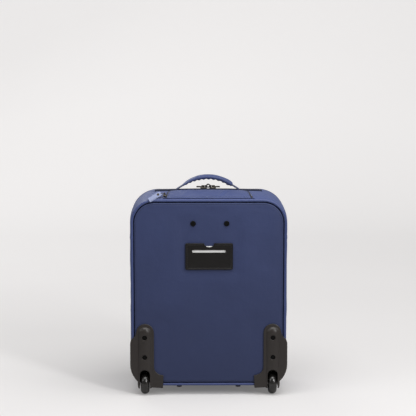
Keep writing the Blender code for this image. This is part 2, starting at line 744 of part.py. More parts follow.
def screw(name, x, y, z, radius, height, reach):
    """A round cross-head facing the rear, whose base is at depth y, on a shank that reaches forwards."""
    head = bevelled(cylinder(name, (x, y - height / 2, z), "Y", radius, height, BLACK), height * 0.3, 1)
    shank = cylinder(f"{name}_shank", (x, (reach + y) / 2 - 0.0003, z), "Y", SHANK_RADIUS, reach - y + 0.0006,
                     helper=True, steps=10)
    head = boolean(head, shank, "UNION")
    arm, thin = radius * 0.62, radius * 0.12
    for label, dx, dz in (("a", arm, thin), ("b", thin, arm)):
        slot = box(f"{name}_slot_{label}", (x - dx, y - height - 0.001, z - dz),
                   (x + dx, y - height * 0.45, z + dz), helper=True)
        head = boolean(head, slot)
    return head


# ---------------------------------------------------------------- wheels and their housings

def housing_outline(side):
    """The housing from behind: an inner toe, a round-topped flange and a wing round the case's corner."""
    toe = [(0.1035, HOUSING_LOW), (0.1018, 0.0465)]
    sweep = [(0.1030 + 0.0203 * math.sin(a), 0.0465 + 0.0190 * (1 - math.cos(a)))
             for a in spread(math.radians(15), math.radians(90), 5)]
    arch = [(0.1433 + 0.0200 * math.cos(a), 0.1450 + 0.0200 * math.sin(a))
            for a in spread(math.radians(180), math.radians(0), 9)]
    shoulder = [(0.1664, 0.1362), (0.1740, 0.1296), (0.1770, 0.1210)]
    corner = [(0.1230 + 0.0542 * math.cos(a), 0.0715 + 0.0542 * math.sin(a))
              for a in spread(math.radians(0), math.radians(-47), 6)]
    ankle = [(0.1605, 0.0300), (0.1600, HOUSING_LOW + 0.0032)]
    return [(side * x, z) for x, z in toe + sweep + arch + shoulder + corner + ankle]


def side_profile():
    """The housing from the side: (y, z) points, tall at the rear and reaching forwards under the case."""
    front = HOUSING_FRONT_Y
    slope = [(front - 0.045 * math.sin(a), 0.045 + 0.125 * (1 - math.cos(a)) ** 0.8)
             for a in spread(0.0, math.radians(90), 7)]
    return [(HOUSING_REAR_Y - 0.001, 0.0), (front, 0.0)] + slope + [(HOUSING_REAR_Y - 0.001, 0.175)]


def case_envelope():
    """Everything inside the case's skin and rear seam, a gap larger than the pieces themselves."""
    depths = [REAR_PANEL_Y[0] - GAP, -0.0905, -0.086, -0.078, -0.068, -0.055, -0.040, -0.020]
    return loft("case_envelope", [section(y, -GAP) for y in depths], helper=True)


ENVELOPE = case_envelope()
SEAM_ENVELOPE = piping("seam_envelope", REAR_PIPING_Y, PIPING_RADIUS + GAP, helper=True)


def well_slot(side):
    """The wheel's slot, round-topped and open at the rear and the bottom."""
    arch = [(WHEEL_OUT + WELL_HALF * math.cos(a), WELL_HIGH - WELL_HALF + WELL_HALF * math.sin(a))
            for a in spread(0.0, math.pi, 9)]
    loop = [(WHEEL_OUT - WELL_HALF, -0.010), (WHEEL_OUT + WELL_HALF, -0.010)] + arch
    rear, front = -0.120, WELL_FRONT_Y
    return outline(f"well_slot_{side}", [[(side * x, z) for x, z in loop]], front - rear, helper=True,
                   at=(rear + front) / 2)


def housing_rib(side):
    """A half-round rib with a domed top, standing proud of the flange."""
    x = side * WHEEL_OUT
    post = cylinder(f"rib_{side}", (0.0, 0.0, (RIB_TOP + HOUSING_LOW) / 2), "Z", RIB_RADIUS,
                    RIB_TOP - HOUSING_LOW, helper=True)
    bm = bmesh.new()
    bmesh.ops.create_uvsphere(bm, u_segments=TURN_STEPS, v_segments=12, radius=RIB_RADIUS,
                              matrix=Matrix.Translation((0.0, 0.0, RIB_TOP)))
    dome = mesh_object(f"rib_dome_{side}", bm, helper=True)
    post = boolean(post, dome, "UNION")
    squeeze = Matrix.Diagonal((1.0, RIB_PROUD / RIB_RADIUS, 1.0, 1.0))
    post.data.transform(Matrix.Translation((x, REAR_PANEL_Y[0] - GAP, 0.0)) @ squeeze)
    front = box(f"rib_front_{side}", (x - 0.03, REAR_PANEL_Y[0] - 0.0008, -0.1), (x + 0.03, 0.1, 0.3),
                helper=True)
    return boolean(post, front)


def wheel_housing(side, name):
    shell = outline(f"wheel_housing_{name}", [housing_outline(side)], HOUSING_FRONT_Y - HOUSING_REAR_Y, BLACK,
                    at=(HOUSING_FRONT_Y + HOUSING_REAR_Y) / 2)
    profile = outline(f"housing_profile_{side}", [side_profile()], 0.12, helper=True, facing="X",
                      at=side * 0.14)
    shell = boolean(shell, profile, "INTERSECT")
    shell = boolean(shell, ENVELOPE)
    shell = boolean(shell, SEAM_ENVELOPE)
    half = WELL_HALF + WELL_WALL
    xs = sorted((side * (WHEEL_OUT - half), side * (WHEEL_OUT + half)))
    well = box(f"well_box_{side}", (xs[0], HOUSING_REAR_Y + 0.0002, HOUSING_LOW + 0.0034),
               (xs[1], WELL_FRONT_Y + WELL_WALL, WELL_HIGH + WELL_WALL), helper=True)
    shell = boolean(shell, well, "UNION")
    shell = boolean(shell, housing_rib(side), "UNION")
    shell = boolean(shell, well_slot(side))
    axle_hole = cylinder(f"axle_hole_{side}", wheel_centre(side), "X", AXLE_RADIUS + 0.0002, 0.040,
                         helper=True)
    shell = boolean(shell, axle_hole)
    for label, z in SCREW_HEIGHTS.items():
        recess = cylinder(f"recess_{side}_{label}", (side * WHEEL_OUT, -0.1060, z), "Y", 0.0055, 0.0125,
                          helper=True)
        shell = boolean(shell, recess)
    return cut_for_screws(shell, (2, 3) if side < 0 else (4, 5))


def wheel_axle(side, name):
    length = 2 * (WELL_HALF + WELL_WALL) - 0.0006
    return cylinder(f"wheel_axle_{name}", wheel_centre(side), "X", AXLE_RADIUS, length, STEEL)


def wheel_centre(side):
    return (side * WHEEL_OUT, WHEEL_Y, WHEEL_RADIUS)


def wheel_tyre(side, name):
    half, foot = WHEEL_WIDTH / 2, 0.0150
    crest = [(0.0192 + 0.0058 * math.cos(a), half * math.sin(a))
             for a in spread(math.radians(90), math.radians(-90), 9)]
    return turned(f"wheel_tyre_{name}", [(foot, half - 0.0006)] + crest + [(foot, 0.0006 - half)],
                  wheel_centre(side), RUBBER)


def wheel_hub(side, name):
    """A waisted hub between the tyre and the bearing."""
    rim, seat, half, web = 0.0147, 0.0082, 0.0088, 0.0055
    profile = [(rim, half), (rim, -half), (rim - 0.002, -half), (rim - 0.003, -web), (seat + 0.002, -web),
               (seat + 0.001, -half), (seat, -half), (seat, half), (seat + 0.001, half), (seat + 0.002, web),
               (rim - 0.003, web), (rim - 0.002, half)]
    return turned(f"wheel_hub_{name}", profile, wheel_centre(side), BLACK)


def wheel_bearing(side, name):
    bore, race, half = AXLE_RADIUS + AXLE_CLEARANCE, 0.0078, 0.0080
    return turned(f"wheel_bearing_{name}", [(race, half), (race, -half), (bore, -half), (bore, half)],
                  wheel_centre(side), STEEL)


def front_foot(side, name):
    x = side * 0.105
    foot = box(f"front_foot_{name}", (x - 0.019, 0.0210, 0.0), (x + 0.019, 0.0440, 0.0198), BLACK)
    for vert in foot.data.vertices:
        if vert.co.z < 0.001:
            vert.co.x = x + (vert.co.x - x) * 0.84
            vert.co.y = 0.0325 + (vert.co.y - 0.0325) * 0.78
    return foot


# ---------------------------------------------------------------- address holder on the rear panel

HOLDER = {"half": 0.0532, "low": 0.2886, "high": 0.3484, "x": 0.0008}
CARD_POCKET_HALF = 0.0470


def id_holder():
    """A stitched cover with a long window and a thumb notch, hollow at the back for the card."""
    x, low, high, half = HOLDER["x"], HOLDER["low"], HOLDER["high"], HOLDER["half"]
    edge = [(x + px, z) for px, z in rounded_rectangle(half, low, high, 0.0035, steps=3)]
    window = [(x - 0.0005 + px, z) for px, z in rounded_rectangle(0.0378, 0.3273, 0.3331, 0.0028, steps=3)]
    rear, front = REAR_PANEL_Y[0] - 0.0034, REAR_PANEL_Y[0] - GAP
    cover = outline("id_holder", [edge, window], front - rear, LEATHERETTE, at=(rear + front) / 2)
    notch = cylinder("holder_notch", (0.0, 0.0, 0.0), "Y", 0.0095, 0.02, helper=True)
    place = Matrix.Translation((x, REAR_PANEL_Y[0], high + 0.0005))
    notch.data.transform(place @ Matrix.Diagonal((1.2, 1, 1, 1)))
    cover = boolean(cover, notch)
    pocket_low = (x - CARD_POCKET_HALF, front - 0.0012, low + 0.0020)
    pocket_high = (x + CARD_POCKET_HALF, front + 0.005, high + 0.01)
    return boolean(cover, box("holder_pocket", pocket_low, pocket_high, helper=True))


def id_card():
    x, front = HOLDER["x"], REAR_PANEL_Y[0] - GAP - 0.0003
    half = CARD_POCKET_HALF - 0.0008
    return box("id_card", (x - half, front - 0.0005, HOLDER["low"] + 0.0025), (x + half, front, 0.3416), CARD)


# ---------------------------------------------------------------- assembly

def build_case():
    rear_panel()
    frame_board()
    body_gusset()
    rear_piping("rear_piping", 0.040, 0.500)
    rear_piping("rear_piping_bottom", 0.0, 0.040)
    body_lining()
    zip_side("main_zip_body_side", ZIP_Y - ZIP_SPLIT - ZIP_TAPE, ZIP_Y - ZIP_SPLIT)
    id_holder()
    id_card()


def build_lid():
    lid_gusset()
    lid_panel()
    lid_lining()
    piping("front_piping", FRONT_PIPING_Y, PIPING_RADIUS, PIPING)
    zip_side("main_zip_lid_side", ZIP_Y + ZIP_SPLIT, ZIP_Y + ZIP_SPLIT + ZIP_TAPE)
    pocket("lower_pocket", 0.042, 0.268, 0.1020)
    pocket("upper_pocket", 0.284, 0.424, 0.0960)
    for name, z, proud in (("lower", 0.2480, 0.1020), ("upper", 0.4040, 0.0960)):
        pocket_zip(f"{name}_pocket_zip", z, proud + GAP)
        pocket_slider(f"{name}_pocket_slider", z, proud + GAP + 0.0010 + GAP)


def build_top():
    handle_cover()
    cover_zip()
    cover_slider()
    cover_pull()
    carry_base_strap()
    carry_strap()
    carry_grip()


def build_trolley():
    trolley_bezel()
    tube_foot_bar()
    trolley_grip()
    trolley_button()
    release_yoke()


def build_sides():
    for side, name in ((-1, "left"), (1, "right")):
        for stage in TUBES:
            tube(stage, side, name)
        main_slider(side, name)
        main_pull(side, name)
        x, z = BEZEL_SCREW_X + side * BEZEL_SCREW[0], BEZEL_SCREW[1]
        screw(f"bezel_screw_{name}", x, REAR_PANEL_Y[0] - GAP, z, 0.0062, 0.0022, -0.0800)
        wheel_housing(side, name)
        for label, z in SCREW_HEIGHTS.items():
            screw(f"housing_screw_{label}_{name}", side * WHEEL_OUT, -0.1002, z, 0.0046, 0.0020, -0.0840)
        wheel_axle(side, name)
        wheel_tyre(side, name)
        wheel_hub(side, name)
        wheel_bearing(side, name)
        front_foot(side, name)


build_case()
build_lid()
build_top()
build_trolley()
build_sides()
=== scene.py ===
"""Looks of the softside upright suitcase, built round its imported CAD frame.

Metres, +Z up. The wheel side faces -Y and the lid faces +Y."""
import math

import bmesh
import bpy
import numpy as np
from mathutils import Matrix, Vector, geometry, noise


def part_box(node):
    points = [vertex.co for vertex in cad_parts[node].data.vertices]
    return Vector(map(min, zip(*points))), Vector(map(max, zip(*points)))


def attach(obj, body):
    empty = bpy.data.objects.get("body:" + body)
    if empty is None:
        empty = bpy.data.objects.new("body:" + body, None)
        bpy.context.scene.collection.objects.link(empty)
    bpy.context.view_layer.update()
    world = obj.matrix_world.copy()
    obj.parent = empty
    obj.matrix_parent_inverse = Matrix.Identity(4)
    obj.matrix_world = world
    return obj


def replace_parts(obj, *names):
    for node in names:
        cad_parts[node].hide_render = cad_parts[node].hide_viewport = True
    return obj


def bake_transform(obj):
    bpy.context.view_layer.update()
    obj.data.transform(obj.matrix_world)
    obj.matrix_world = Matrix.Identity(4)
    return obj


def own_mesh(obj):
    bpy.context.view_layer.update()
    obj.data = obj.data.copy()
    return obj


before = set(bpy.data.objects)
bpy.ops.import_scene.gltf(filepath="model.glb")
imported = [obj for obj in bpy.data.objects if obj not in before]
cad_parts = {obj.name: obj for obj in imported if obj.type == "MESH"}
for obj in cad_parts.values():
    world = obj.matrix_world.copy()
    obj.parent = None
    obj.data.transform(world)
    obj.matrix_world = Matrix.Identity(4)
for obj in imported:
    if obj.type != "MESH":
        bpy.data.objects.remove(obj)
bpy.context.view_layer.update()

SIDES = ("left", "right")
UP = (0, 0, 1)
ALONG_X = Matrix.Rotation(math.pi / 2, 4, "Y")


# ---------------------------------------------------------------- materials

class Recipe:
    """A material whose shader nodes are added and joined with short calls."""

    def __init__(self, name):
        self.material = bpy.data.materials.new(name)
        self.material.use_nodes = True
        self.tree = self.material.node_tree
        self.shader = self.tree.nodes["Principled BSDF"]
        self.place = self.add("ShaderNodeTexCoord").outputs["Object"]

    def add(self, kind, settings=None, inputs=None):
        node = self.tree.nodes.new(kind)
        for key, value in (settings or {}).items():
            setattr(node, key, value)
        for key, value in (inputs or {}).items():
            self.join(node.inputs[key], value)
        return node

    def join(self, socket, value):
        if isinstance(value, bpy.types.NodeSocket):
            self.tree.links.new(value, socket)
        else:
            socket.default_value = value

    def noise(self, scale, detail=2.0, stretch=None):
        place = self.place
        if stretch:
            place = self.add("ShaderNodeMapping", None, {"Vector": place, "Scale": stretch}).outputs[0]
        return self.add("ShaderNodeTexNoise", None,
                        {"Vector": place, "Scale": scale, "Detail": detail}).outputs[0]

    def wave(self, axis, pitch, place=None):
        """A smooth ripple along one axis, with its pitch in metres."""
        return self.add("ShaderNodeTexWave", {"bands_direction": axis, "wave_profile": "SIN"},
                        {"Vector": place or self.place, "Scale": 0.314 / pitch}).outputs[1]

    def math(self, operation, a, b=0.0):
        return self.add("ShaderNodeMath", {"operation": operation}, {0: a, 1: b}).outputs[0]

    def spread(self, value, low, high, start=0.0, end=1.0):
        return self.add("ShaderNodeMapRange", None, {"Value": value, "From Min": start, "From Max": end,
                                                     "To Min": low, "To Max": high}).outputs[0]

    def mix(self, share, a, b):
        node = self.add("ShaderNodeMix", {"data_type": "RGBA"})
        self.join(node.inputs[0], share)
        for socket, colour in ((node.inputs[6], a), (node.inputs[7], b)):
            self.join(socket, colour if isinstance(colour, bpy.types.NodeSocket) else (*colour, 1.0))
        return node.outputs[2]

    def bump(self, height, distance, before=None):
        inputs = {"Height": height, "Distance": distance, "Strength": 1.0}
        if before:
            inputs["Normal"] = before
        return self.add("ShaderNodeBump", None, inputs).outputs[0]

    def surface(self, **inputs):
        for key, value in inputs.items():
            self.join(self.shader.inputs[key.replace("_", " ")], value)
        return self.material


def times(colour, share):
    return tuple(min(1.0, c * share) for c in colour)


def woven(r, pitch):
    """A plain weave that shows on faces of any direction: the sum of three ripples."""
    total = r.math("ADD", r.wave("X", pitch), r.wave("Y", pitch))
    return r.spread(r.math("ADD", total, r.wave("Z", pitch)), 0.0, 1.0, 0.0, 3.0)


def cloth(name, colour, patchy=0.10, pitch=0.0006, weave=0.00006, crumple=0.0007, rough=0.5, sheen=0.25,
          tint=(0.55, 0.62, 0.9), painted_low_shade=1.0):
    """Woven cloth. Below 0.36 m its colour is darkened towards the floor by the given share: painted shade,
    for the lower part that gets less light.
    """
    r = Recipe(name)
    threads = woven(r, pitch)
    patches = r.noise(8.0, 3.0)
    base = r.mix(r.spread(patches, 0.0, 1.0, 0.3, 0.7), times(colour, 1 - patchy), times(colour, 1 + patchy))
    base = r.mix(r.spread(threads, 0.0, 0.16), base, times(colour, 0.55))
    base = r.mix(r.spread(r.noise(420.0, 1.0), 0.0, 0.12), base, times(colour, 1.7))
    # Painted shade: the colour darkens towards the floor, where less light reaches.
    if painted_low_shade < 1.0:
        tall = r.add("ShaderNodeSeparateXYZ", None, {"Vector": r.place}).outputs[2]
        base = r.mix(r.spread(tall, 1.0, 0.0, 0.03, 0.36), base, times(colour, painted_low_shade))
    soft = r.bump(r.noise(26.0, 3.0), crumple * 2.2)
    fine = r.bump(r.noise(120.0, 2.0), crumple * 0.35, soft)
    normal = r.bump(threads, weave, fine)
    roughness = r.spread(r.noise(60.0, 3.0), rough - 0.05, rough + 0.07)
    return r.surface(Base_Color=base, Roughness=roughness, Normal=normal, Sheen_Weight=sheen,
                     Sheen_Roughness=0.4, Sheen_Tint=(*tint, 1.0), Specular_IOR_Level=0.30)


def moulded(name, colour, rough=0.42, grain=0.00009, specular=0.5):
    r = Recipe(name)
    cells = r.noise(1500.0, 2.0)
    base = r.mix(r.noise(18.0, 3.0), times(colour, 0.88), times(colour, 1.14))
    base = r.mix(r.spread(r.noise(240.0, 4.0), 0.0, 0.20), base, times(colour, 1.6))
    normal = r.bump(cells, grain, r.bump(r.noise(70.0, 2.0), 0.00012))
    roughness = r.spread(r.noise(90.0, 3.0), rough - 0.05, rough + 0.08)
    return r.surface(Base_Color=base, Roughness=roughness, Normal=normal, Specular_IOR_Level=specular)


def leather(name, colour):
    r = Recipe(name)
    cells = r.add("ShaderNodeTexVoronoi", {"feature": "DISTANCE_TO_EDGE"},
                  {"Vector": r.place, "Scale": 900.0}).outputs[0]
    creases = r.spread(cells, 0.0, 1.0, 0.0, 0.25)
    base = r.mix(r.noise(30.0, 3.0), times(colour, 0.8), times(colour, 1.25))
    normal = r.bump(creases, 0.00005, r.bump(r.noise(60.0, 3.0), 0.0005))
    return r.surface(Base_Color=base, Roughness=r.spread(r.noise(80.0, 3.0), 0.26, 0.40), Normal=normal,
                     Coat_Weight=0.08, Coat_Roughness=0.25, Specular_IOR_Level=0.35)


def metal(name, colour, rough, brushed=None, dirt=0.5):
    """Plated or brushed metal. Brushed is a (x, y, z) stretch of the scratches."""
    r = Recipe(name)
    wear = r.noise(700.0, 3.0, brushed) if brushed else r.noise(260.0, 3.0)
    base = r.mix(wear, times(colour, 1 - dirt * 0.4), times(colour, 1 + dirt * 0.3))
    return r.surface(Base_Color=base, Metallic=1.0, Roughness=r.spread(wear, rough - 0.08, rough + 0.12),
                     Normal=r.bump(wear, 0.00003))


def ribbed_tape(name, colour, pitch=0.0009):
    """Dense tape, ribbed in a herringbone."""
    r = Recipe(name)
    ribs = r.math("ADD", r.wave("DIAGONAL", pitch), r.wave("X", pitch * 1.3))
    base = r.mix(r.spread(ribs, 0.0, 1.0, 0.0, 2.0), times(colour, 0.7), times(colour, 1.3))
    normal = r.bump(ribs, 0.00012, r.bump(r.noise(90.0, 2.0), 0.0003))
    return r.surface(Base_Color=base, Roughness=0.62, Normal=normal, Sheen_Weight=0.2, Sheen_Roughness=0.5)


NAVY_COLOUR = (0.0335, 0.046, 0.117)
LOOKS = {
    # The panel cloth darkens towards the floor: painted shade.
    "panel": cloth("panel_nylon", NAVY_COLOUR, crumple=0.0005, sheen=0.08, painted_low_shade=0.78),
    # The side, flap, piping and sleeve cloths are lighter copies of the panel's navy: painted light, for
    # surfaces that face up and out towards the lamps; the piping's lightness is a painted highlight along the
    # rim.
    "side": cloth("side_nylon", times(NAVY_COLOUR, 1.5), crumple=0.0009, sheen=0.20),
    "flap": cloth("flap_nylon", times(NAVY_COLOUR, 1.35), crumple=0.0008, sheen=0.20),
    "piping": cloth("piping_nylon", times(NAVY_COLOUR, 1.5), pitch=0.0005, crumple=0.0004, sheen=0.1,
                    rough=0.34),
    "sleeve": cloth("sleeve_nylon", times(NAVY_COLOUR, 1.2), crumple=0.0008, sheen=0.25),
    # The seam flange is near black: painted shade for the shadow in the gap between panel and piping.
    "flange": cloth("flange_tape_painted_shade", (0.002, 0.0025, 0.006), pitch=0.0009, weave=0.0001, sheen=0.0, rough=0.9),
    # The base strap's webbing is darker than the other webbing: painted shade, for the shadow line along the
    # sewn strap.
    "dark_webbing": cloth("dark_webbing", (0.010, 0.013, 0.032), pitch=0.0014, weave=0.00022, rough=0.7,
                          sheen=0.0),
    "webbing": cloth("webbing", (0.028, 0.036, 0.085), pitch=0.0014, weave=0.00022, rough=0.6),
    "tab": cloth("tab_tape", (0.20, 0.23, 0.36), pitch=0.0008, weave=0.00010, rough=0.6, crumple=0.0004),
    "thread": cloth("thread", (0.035, 0.045, 0.10), pitch=0.0004, weave=0.00008, rough=0.5),
    "dark_thread": cloth("dark_thread", (0.015, 0.018, 0.035), pitch=0.0004, weave=0.00008, rough=0.5),
    "black_thread": cloth("black_thread", (0.030, 0.028, 0.027), pitch=0.0004, weave=0.00008, rough=0.45),
    "lining": cloth("lining_cloth", (0.27, 0.28, 0.31), pitch=0.0008, weave=0.00005, rough=0.55,
                    crumple=0.0015, tint=(0.8, 0.8, 0.85)),
    "zip_tape": ribbed_tape("zip_tape", (0.012, 0.014, 0.030)),
    "coil": moulded("zip_coil", (0.016, 0.018, 0.032), rough=0.35),
    "plastic": moulded("black_plastic", (0.023, 0.0190, 0.0170), rough=0.36, specular=0.40),
    "smooth_plastic": moulded("smooth_plastic", (0.020, 0.019, 0.018), rough=0.33, grain=0.00003),
    "screw": moulded("screw_black", (0.003, 0.003, 0.003), rough=0.45, grain=0.00002, specular=0.15),
    "leather": leather("black_leatherette", (0.0065, 0.0056, 0.0053)),
    "rubber": moulded("tyre_rubber", (0.010, 0.0092, 0.0086), rough=0.18, grain=0.00003, specular=0.65),
    "hub": moulded("hub_plastic", (0.030, 0.030, 0.031), rough=0.4),
    "steel": metal("plated_steel", (0.55, 0.55, 0.56), 0.28),
    "aluminium": metal("tube_aluminium", (0.60, 0.61, 0.63), 0.30, brushed=(1.0, 1.0, 0.03)),
    "antique": metal("antique_metal", (0.095, 0.085, 0.070), 0.36, dirt=1.0),
    "board": moulded("stiffening_board", (0.20, 0.20, 0.20), rough=0.6),
    "card": moulded("paper_card", (0.83, 0.83, 0.82), rough=0.7, grain=0.00002),
}


# ---------------------------------------------------------------- small helpers

def low(node):
    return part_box(node)[0]


def high(node):
    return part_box(node)[1]


def middle(node):
    a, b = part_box(node)
    return (a + b) / 2


def smoothstep(start, end, value):
    t = np.clip((value - start) / (end - start), 0.0, 1.0)
    return t * t * (3 - 2 * t)


def gauss(value, width):
    return np.exp(-(value / width) ** 2)


def soft_noise(points, scale, seed=0.0):
    """Smooth noise from -1 to 1 at each point."""
    shift = Vector((seed, seed * 0.37, -seed * 0.71))
    return np.array([noise.noise(Vector(p) * scale + shift) for p in points])


def link(obj):
    bpy.context.scene.collection.objects.link(obj)
    return obj


def shade_smooth(mesh):
    mesh.polygons.foreach_set("use_smooth", [True] * len(mesh.polygons))


def new_piece(name, verts, faces, look, body=None):
    mesh = bpy.data.meshes.new(name)
    mesh.from_pydata([tuple(map(float, v)) for v in verts], [], [tuple(map(int, f)) for f in faces])
    mesh.validate()
    obj = link(bpy.data.objects.new(name, mesh))
    mesh.materials.append(LOOKS[look])
    shade_smooth(mesh)
    if body:
        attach(obj, body)
    return obj


def thicken(obj, thickness, offset=-1.0):
    modifier = obj.modifiers.new("thickness", "SOLIDIFY")
    modifier.thickness = thickness
    modifier.offset = offset
    return obj


def grid_faces(rows, columns, closed, keep=None):
    """Quads between rows of points; closed joins each row's last point to its first."""
    faces = []
    for i in range(rows - 1):
        for j in range(columns if closed else columns - 1):
            k = (j + 1) % columns
            if keep is None or keep(i, j):
                faces.append((i * columns + j, i * columns + k, (i + 1) * columns + k, (i + 1) * columns + j))
    return faces


def rows_piece(name, rows, look, body=None, closed=False, capped=False):
    """A piece through rows of points, either open strips or closed rings with or without end caps."""
    grid = np.array(rows)
    count, columns = grid.shape[:2]
    faces = grid_faces(count, columns, closed)
    if capped:
        faces += [tuple(range(columns))[::-1], tuple((count - 1) * columns + i for i in range(columns))]
    return new_piece(name, grid.reshape(-1, 3), faces, look, body)


def cleaned(obj, merge=0.0, cap_sides=0):
    """Turns all faces outwards, after welding points closer than merge or capping open ends if asked."""
    bm = bmesh.new()
    bm.from_mesh(obj.data)
    if cap_sides:
        bmesh.ops.delete(bm, geom=[v for v in bm.verts if not v.link_faces], context="VERTS")
        bmesh.ops.holes_fill(bm, edges=[e for e in bm.edges if e.is_boundary], sides=cap_sides)
    if merge:
        bmesh.ops.remove_doubles(bm, verts=bm.verts, dist=merge)
    bmesh.ops.recalc_face_normals(bm, faces=bm.faces)
    bm.to_mesh(obj.data)
    bm.free()
    return obj


def facing_out(obj, direction):
    """Turns the sheet's faces over if they look away from the given direction."""
    total = sum((p.normal * p.area for p in obj.data.polygons), Vector())
    if total.dot(Vector(direction)) < 0:
        obj.data.flip_normals()
    return obj


def spaced(points, pitch):
    """An open line with points added, so that no step is longer than pitch. Leaves out its last point."""
    line = []
    for (ax, ay), (bx, by) in zip(points, points[1:]):
        n = max(1, math.ceil(math.dist((ax, ay), (bx, by)) / pitch))
        line += [(ax + (bx - ax) * i / n, ay + (by - ay) * i / n) for i in range(n)]
    return line


def rounded_rectangle(cx, cz, half_x, half_z, corner, pitch):
    points = []
    for sx, sz, start in ((1, 1, 0), (-1, 1, 90), (-1, -1, 180), (1, -1, 270)):
        for i in range(7):
            t = math.radians(start + 15 * i)
            points.append((cx + sx * (half_x - corner) + corner * math.cos(t),
                           cz + sz * (half_z - corner) + corner * math.sin(t)))
    return spaced(points + points[:1], pitch)


def mirrored(profile):
    """A profile of (radius, height) points with its mirror image below it."""
    return profile + [(r, -z) for r, z in reversed(profile)]


def path_lengths(path):
    """The distance from a path's start to each of its points."""
    return np.concatenate([[0.0], np.cumsum(np.linalg.norm(np.diff(path, axis=0), axis=1))])


# ---------------------------------------------------------------- the soft case's shape

SIDE_CROWN, TOP_CROWN, BOTTOM_CROWN, CROWN_POWER = 0.007, 0.0105, 0.004, 0.6
TOP_CORNER, TOP_CORNER_GROWTH, BOTTOM_CORNER = 0.050, 0.016, 0.056
SEAM_HALF = high("body_gusset").x - SIDE_CROWN
SEAM_LOW = low("body_gusset").z + BOTTOM_CROWN
SEAM_HIGH = high("body_gusset").z - TOP_CROWN
REAR_PIPING_Y = middle("rear_piping").y
FRONT_PIPING_Y = middle("front_piping").y
REAR_SEAM_Y = REAR_PIPING_Y - 0.0011
FRONT_SEAM_Y = FRONT_PIPING_Y + 0.0015
PANEL_FACE_Y = low("rear_panel").y
OPENING_X = high("trolley_bezel").x + 0.0004
OPENING_Y = (low("trolley_bezel").y - 0.0004, high("trolley_bezel").y + 0.0004)
ARCH = 0.0020


def crown(y):
    share = np.clip((np.asarray(y, float) - REAR_SEAM_Y) / (FRONT_SEAM_Y - REAR_SEAM_Y), 0.0, 1.0)
    return np.sin(np.pi * share) ** CROWN_POWER


def arch(x, y):
    """The top also arches from side to side, away from both seams and the zip."""
    window = smoothstep(-0.082, -0.030, y) * (1 - smoothstep(0.026, 0.046, y))
    return ARCH * window * np.clip(1 - (np.abs(x) / 0.122) ** 2, 0.0, 1.0)


def top_surface(x, y):
    bulge = crown(y)
    radius = TOP_CORNER + TOP_CORNER_GROWTH * bulge
    over = np.clip(np.abs(x) - (SEAM_HALF + SIDE_CROWN * bulge - radius), 0.0, radius)
    return SEAM_HIGH + TOP_CROWN * bulge + arch(x, y) - radius + np.sqrt(radius ** 2 - over ** 2)


def ring(half, bottom, top, top_corner, low_corner, marks=(), pitch=0.0032):
    """(points, outward normals) round a rounded rectangle in (x, z).

    The counts depend on pitch alone, not on the size of each ring, so rings can be joined."""
    count = lambda length: max(1, round(length / pitch))
    top_arc, low_arc = count(TOP_CORNER * math.pi / 2), count(BOTTOM_CORNER * math.pi / 2)
    top_run, low_run = count(2 * (SEAM_HALF - TOP_CORNER)), count(2 * (SEAM_HALF - BOTTOM_CORNER))
    side_run = count(SEAM_HIGH - SEAM_LOW - TOP_CORNER - BOTTOM_CORNER)
    points, normals = [], []

    def arc(cx, cz, radius, start, steps):
        for i in range(steps):
            a = math.radians(start + 90 * i / steps)
            points.append((cx + radius * math.cos(a), cz + radius * math.sin(a)))
            normals.append((math.cos(a), math.sin(a)))

    def run(start, end, normal, steps, stops=()):
        share = [start] + list(stops) + [end]
        usual = [SEAM_HALF - TOP_CORNER] + list(marks) + [TOP_CORNER - SEAM_HALF]
        for number, (a, b) in enumerate(zip(share, share[1:])):
            n = count(usual[number] - usual[number + 1]) if stops else steps
            for i in range(n):
                points.append((a[0] + (b[0] - a[0]) * i / n, a[1] + (b[1] - a[1]) * i / n))
                normals.append(normal)

    xt, xl = half - top_corner, half - low_corner
    arc(xt, top - top_corner, top_corner, 0, top_arc)
    run((xt, top), (-xt, top), (0, 1), top_run, [(m, top) for m in marks])
    arc(-xt, top - top_corner, top_corner, 90, top_arc)
    run((-half, top - top_corner), (-half, bottom + low_corner), (-1, 0), side_run)
    arc(-xl, bottom + low_corner, low_corner, 180, low_arc)
    run((-xl, bottom), (xl, bottom), (0, -1), low_run)
    arc(xl, bottom + low_corner, low_corner, 270, low_arc)
    run((half, bottom + low_corner), (half, top - top_corner), (1, 0), side_run)
    return np.array(points), np.array(normals)


def section(y, inset=0.0, marks=(), pitch=0.0032):
    bulge = float(crown(y))
    return ring(SEAM_HALF + SIDE_CROWN * bulge - inset, SEAM_LOW - BOTTOM_CROWN * bulge + inset,
                SEAM_HIGH + TOP_CROWN * bulge - inset, TOP_CORNER + TOP_CORNER_GROWTH * bulge - inset,
                BOTTOM_CORNER - inset, marks, pitch)


CROSS_SEAM_Z = 0.360
SKIN_THICK = 0.0024
TAPE_THICK = 0.0006
# The zip runs on round the bottom corners a little, which keeps the hinge's cloth short.
ZIP_FOOT = low("main_zip_body_side").z - 0.024


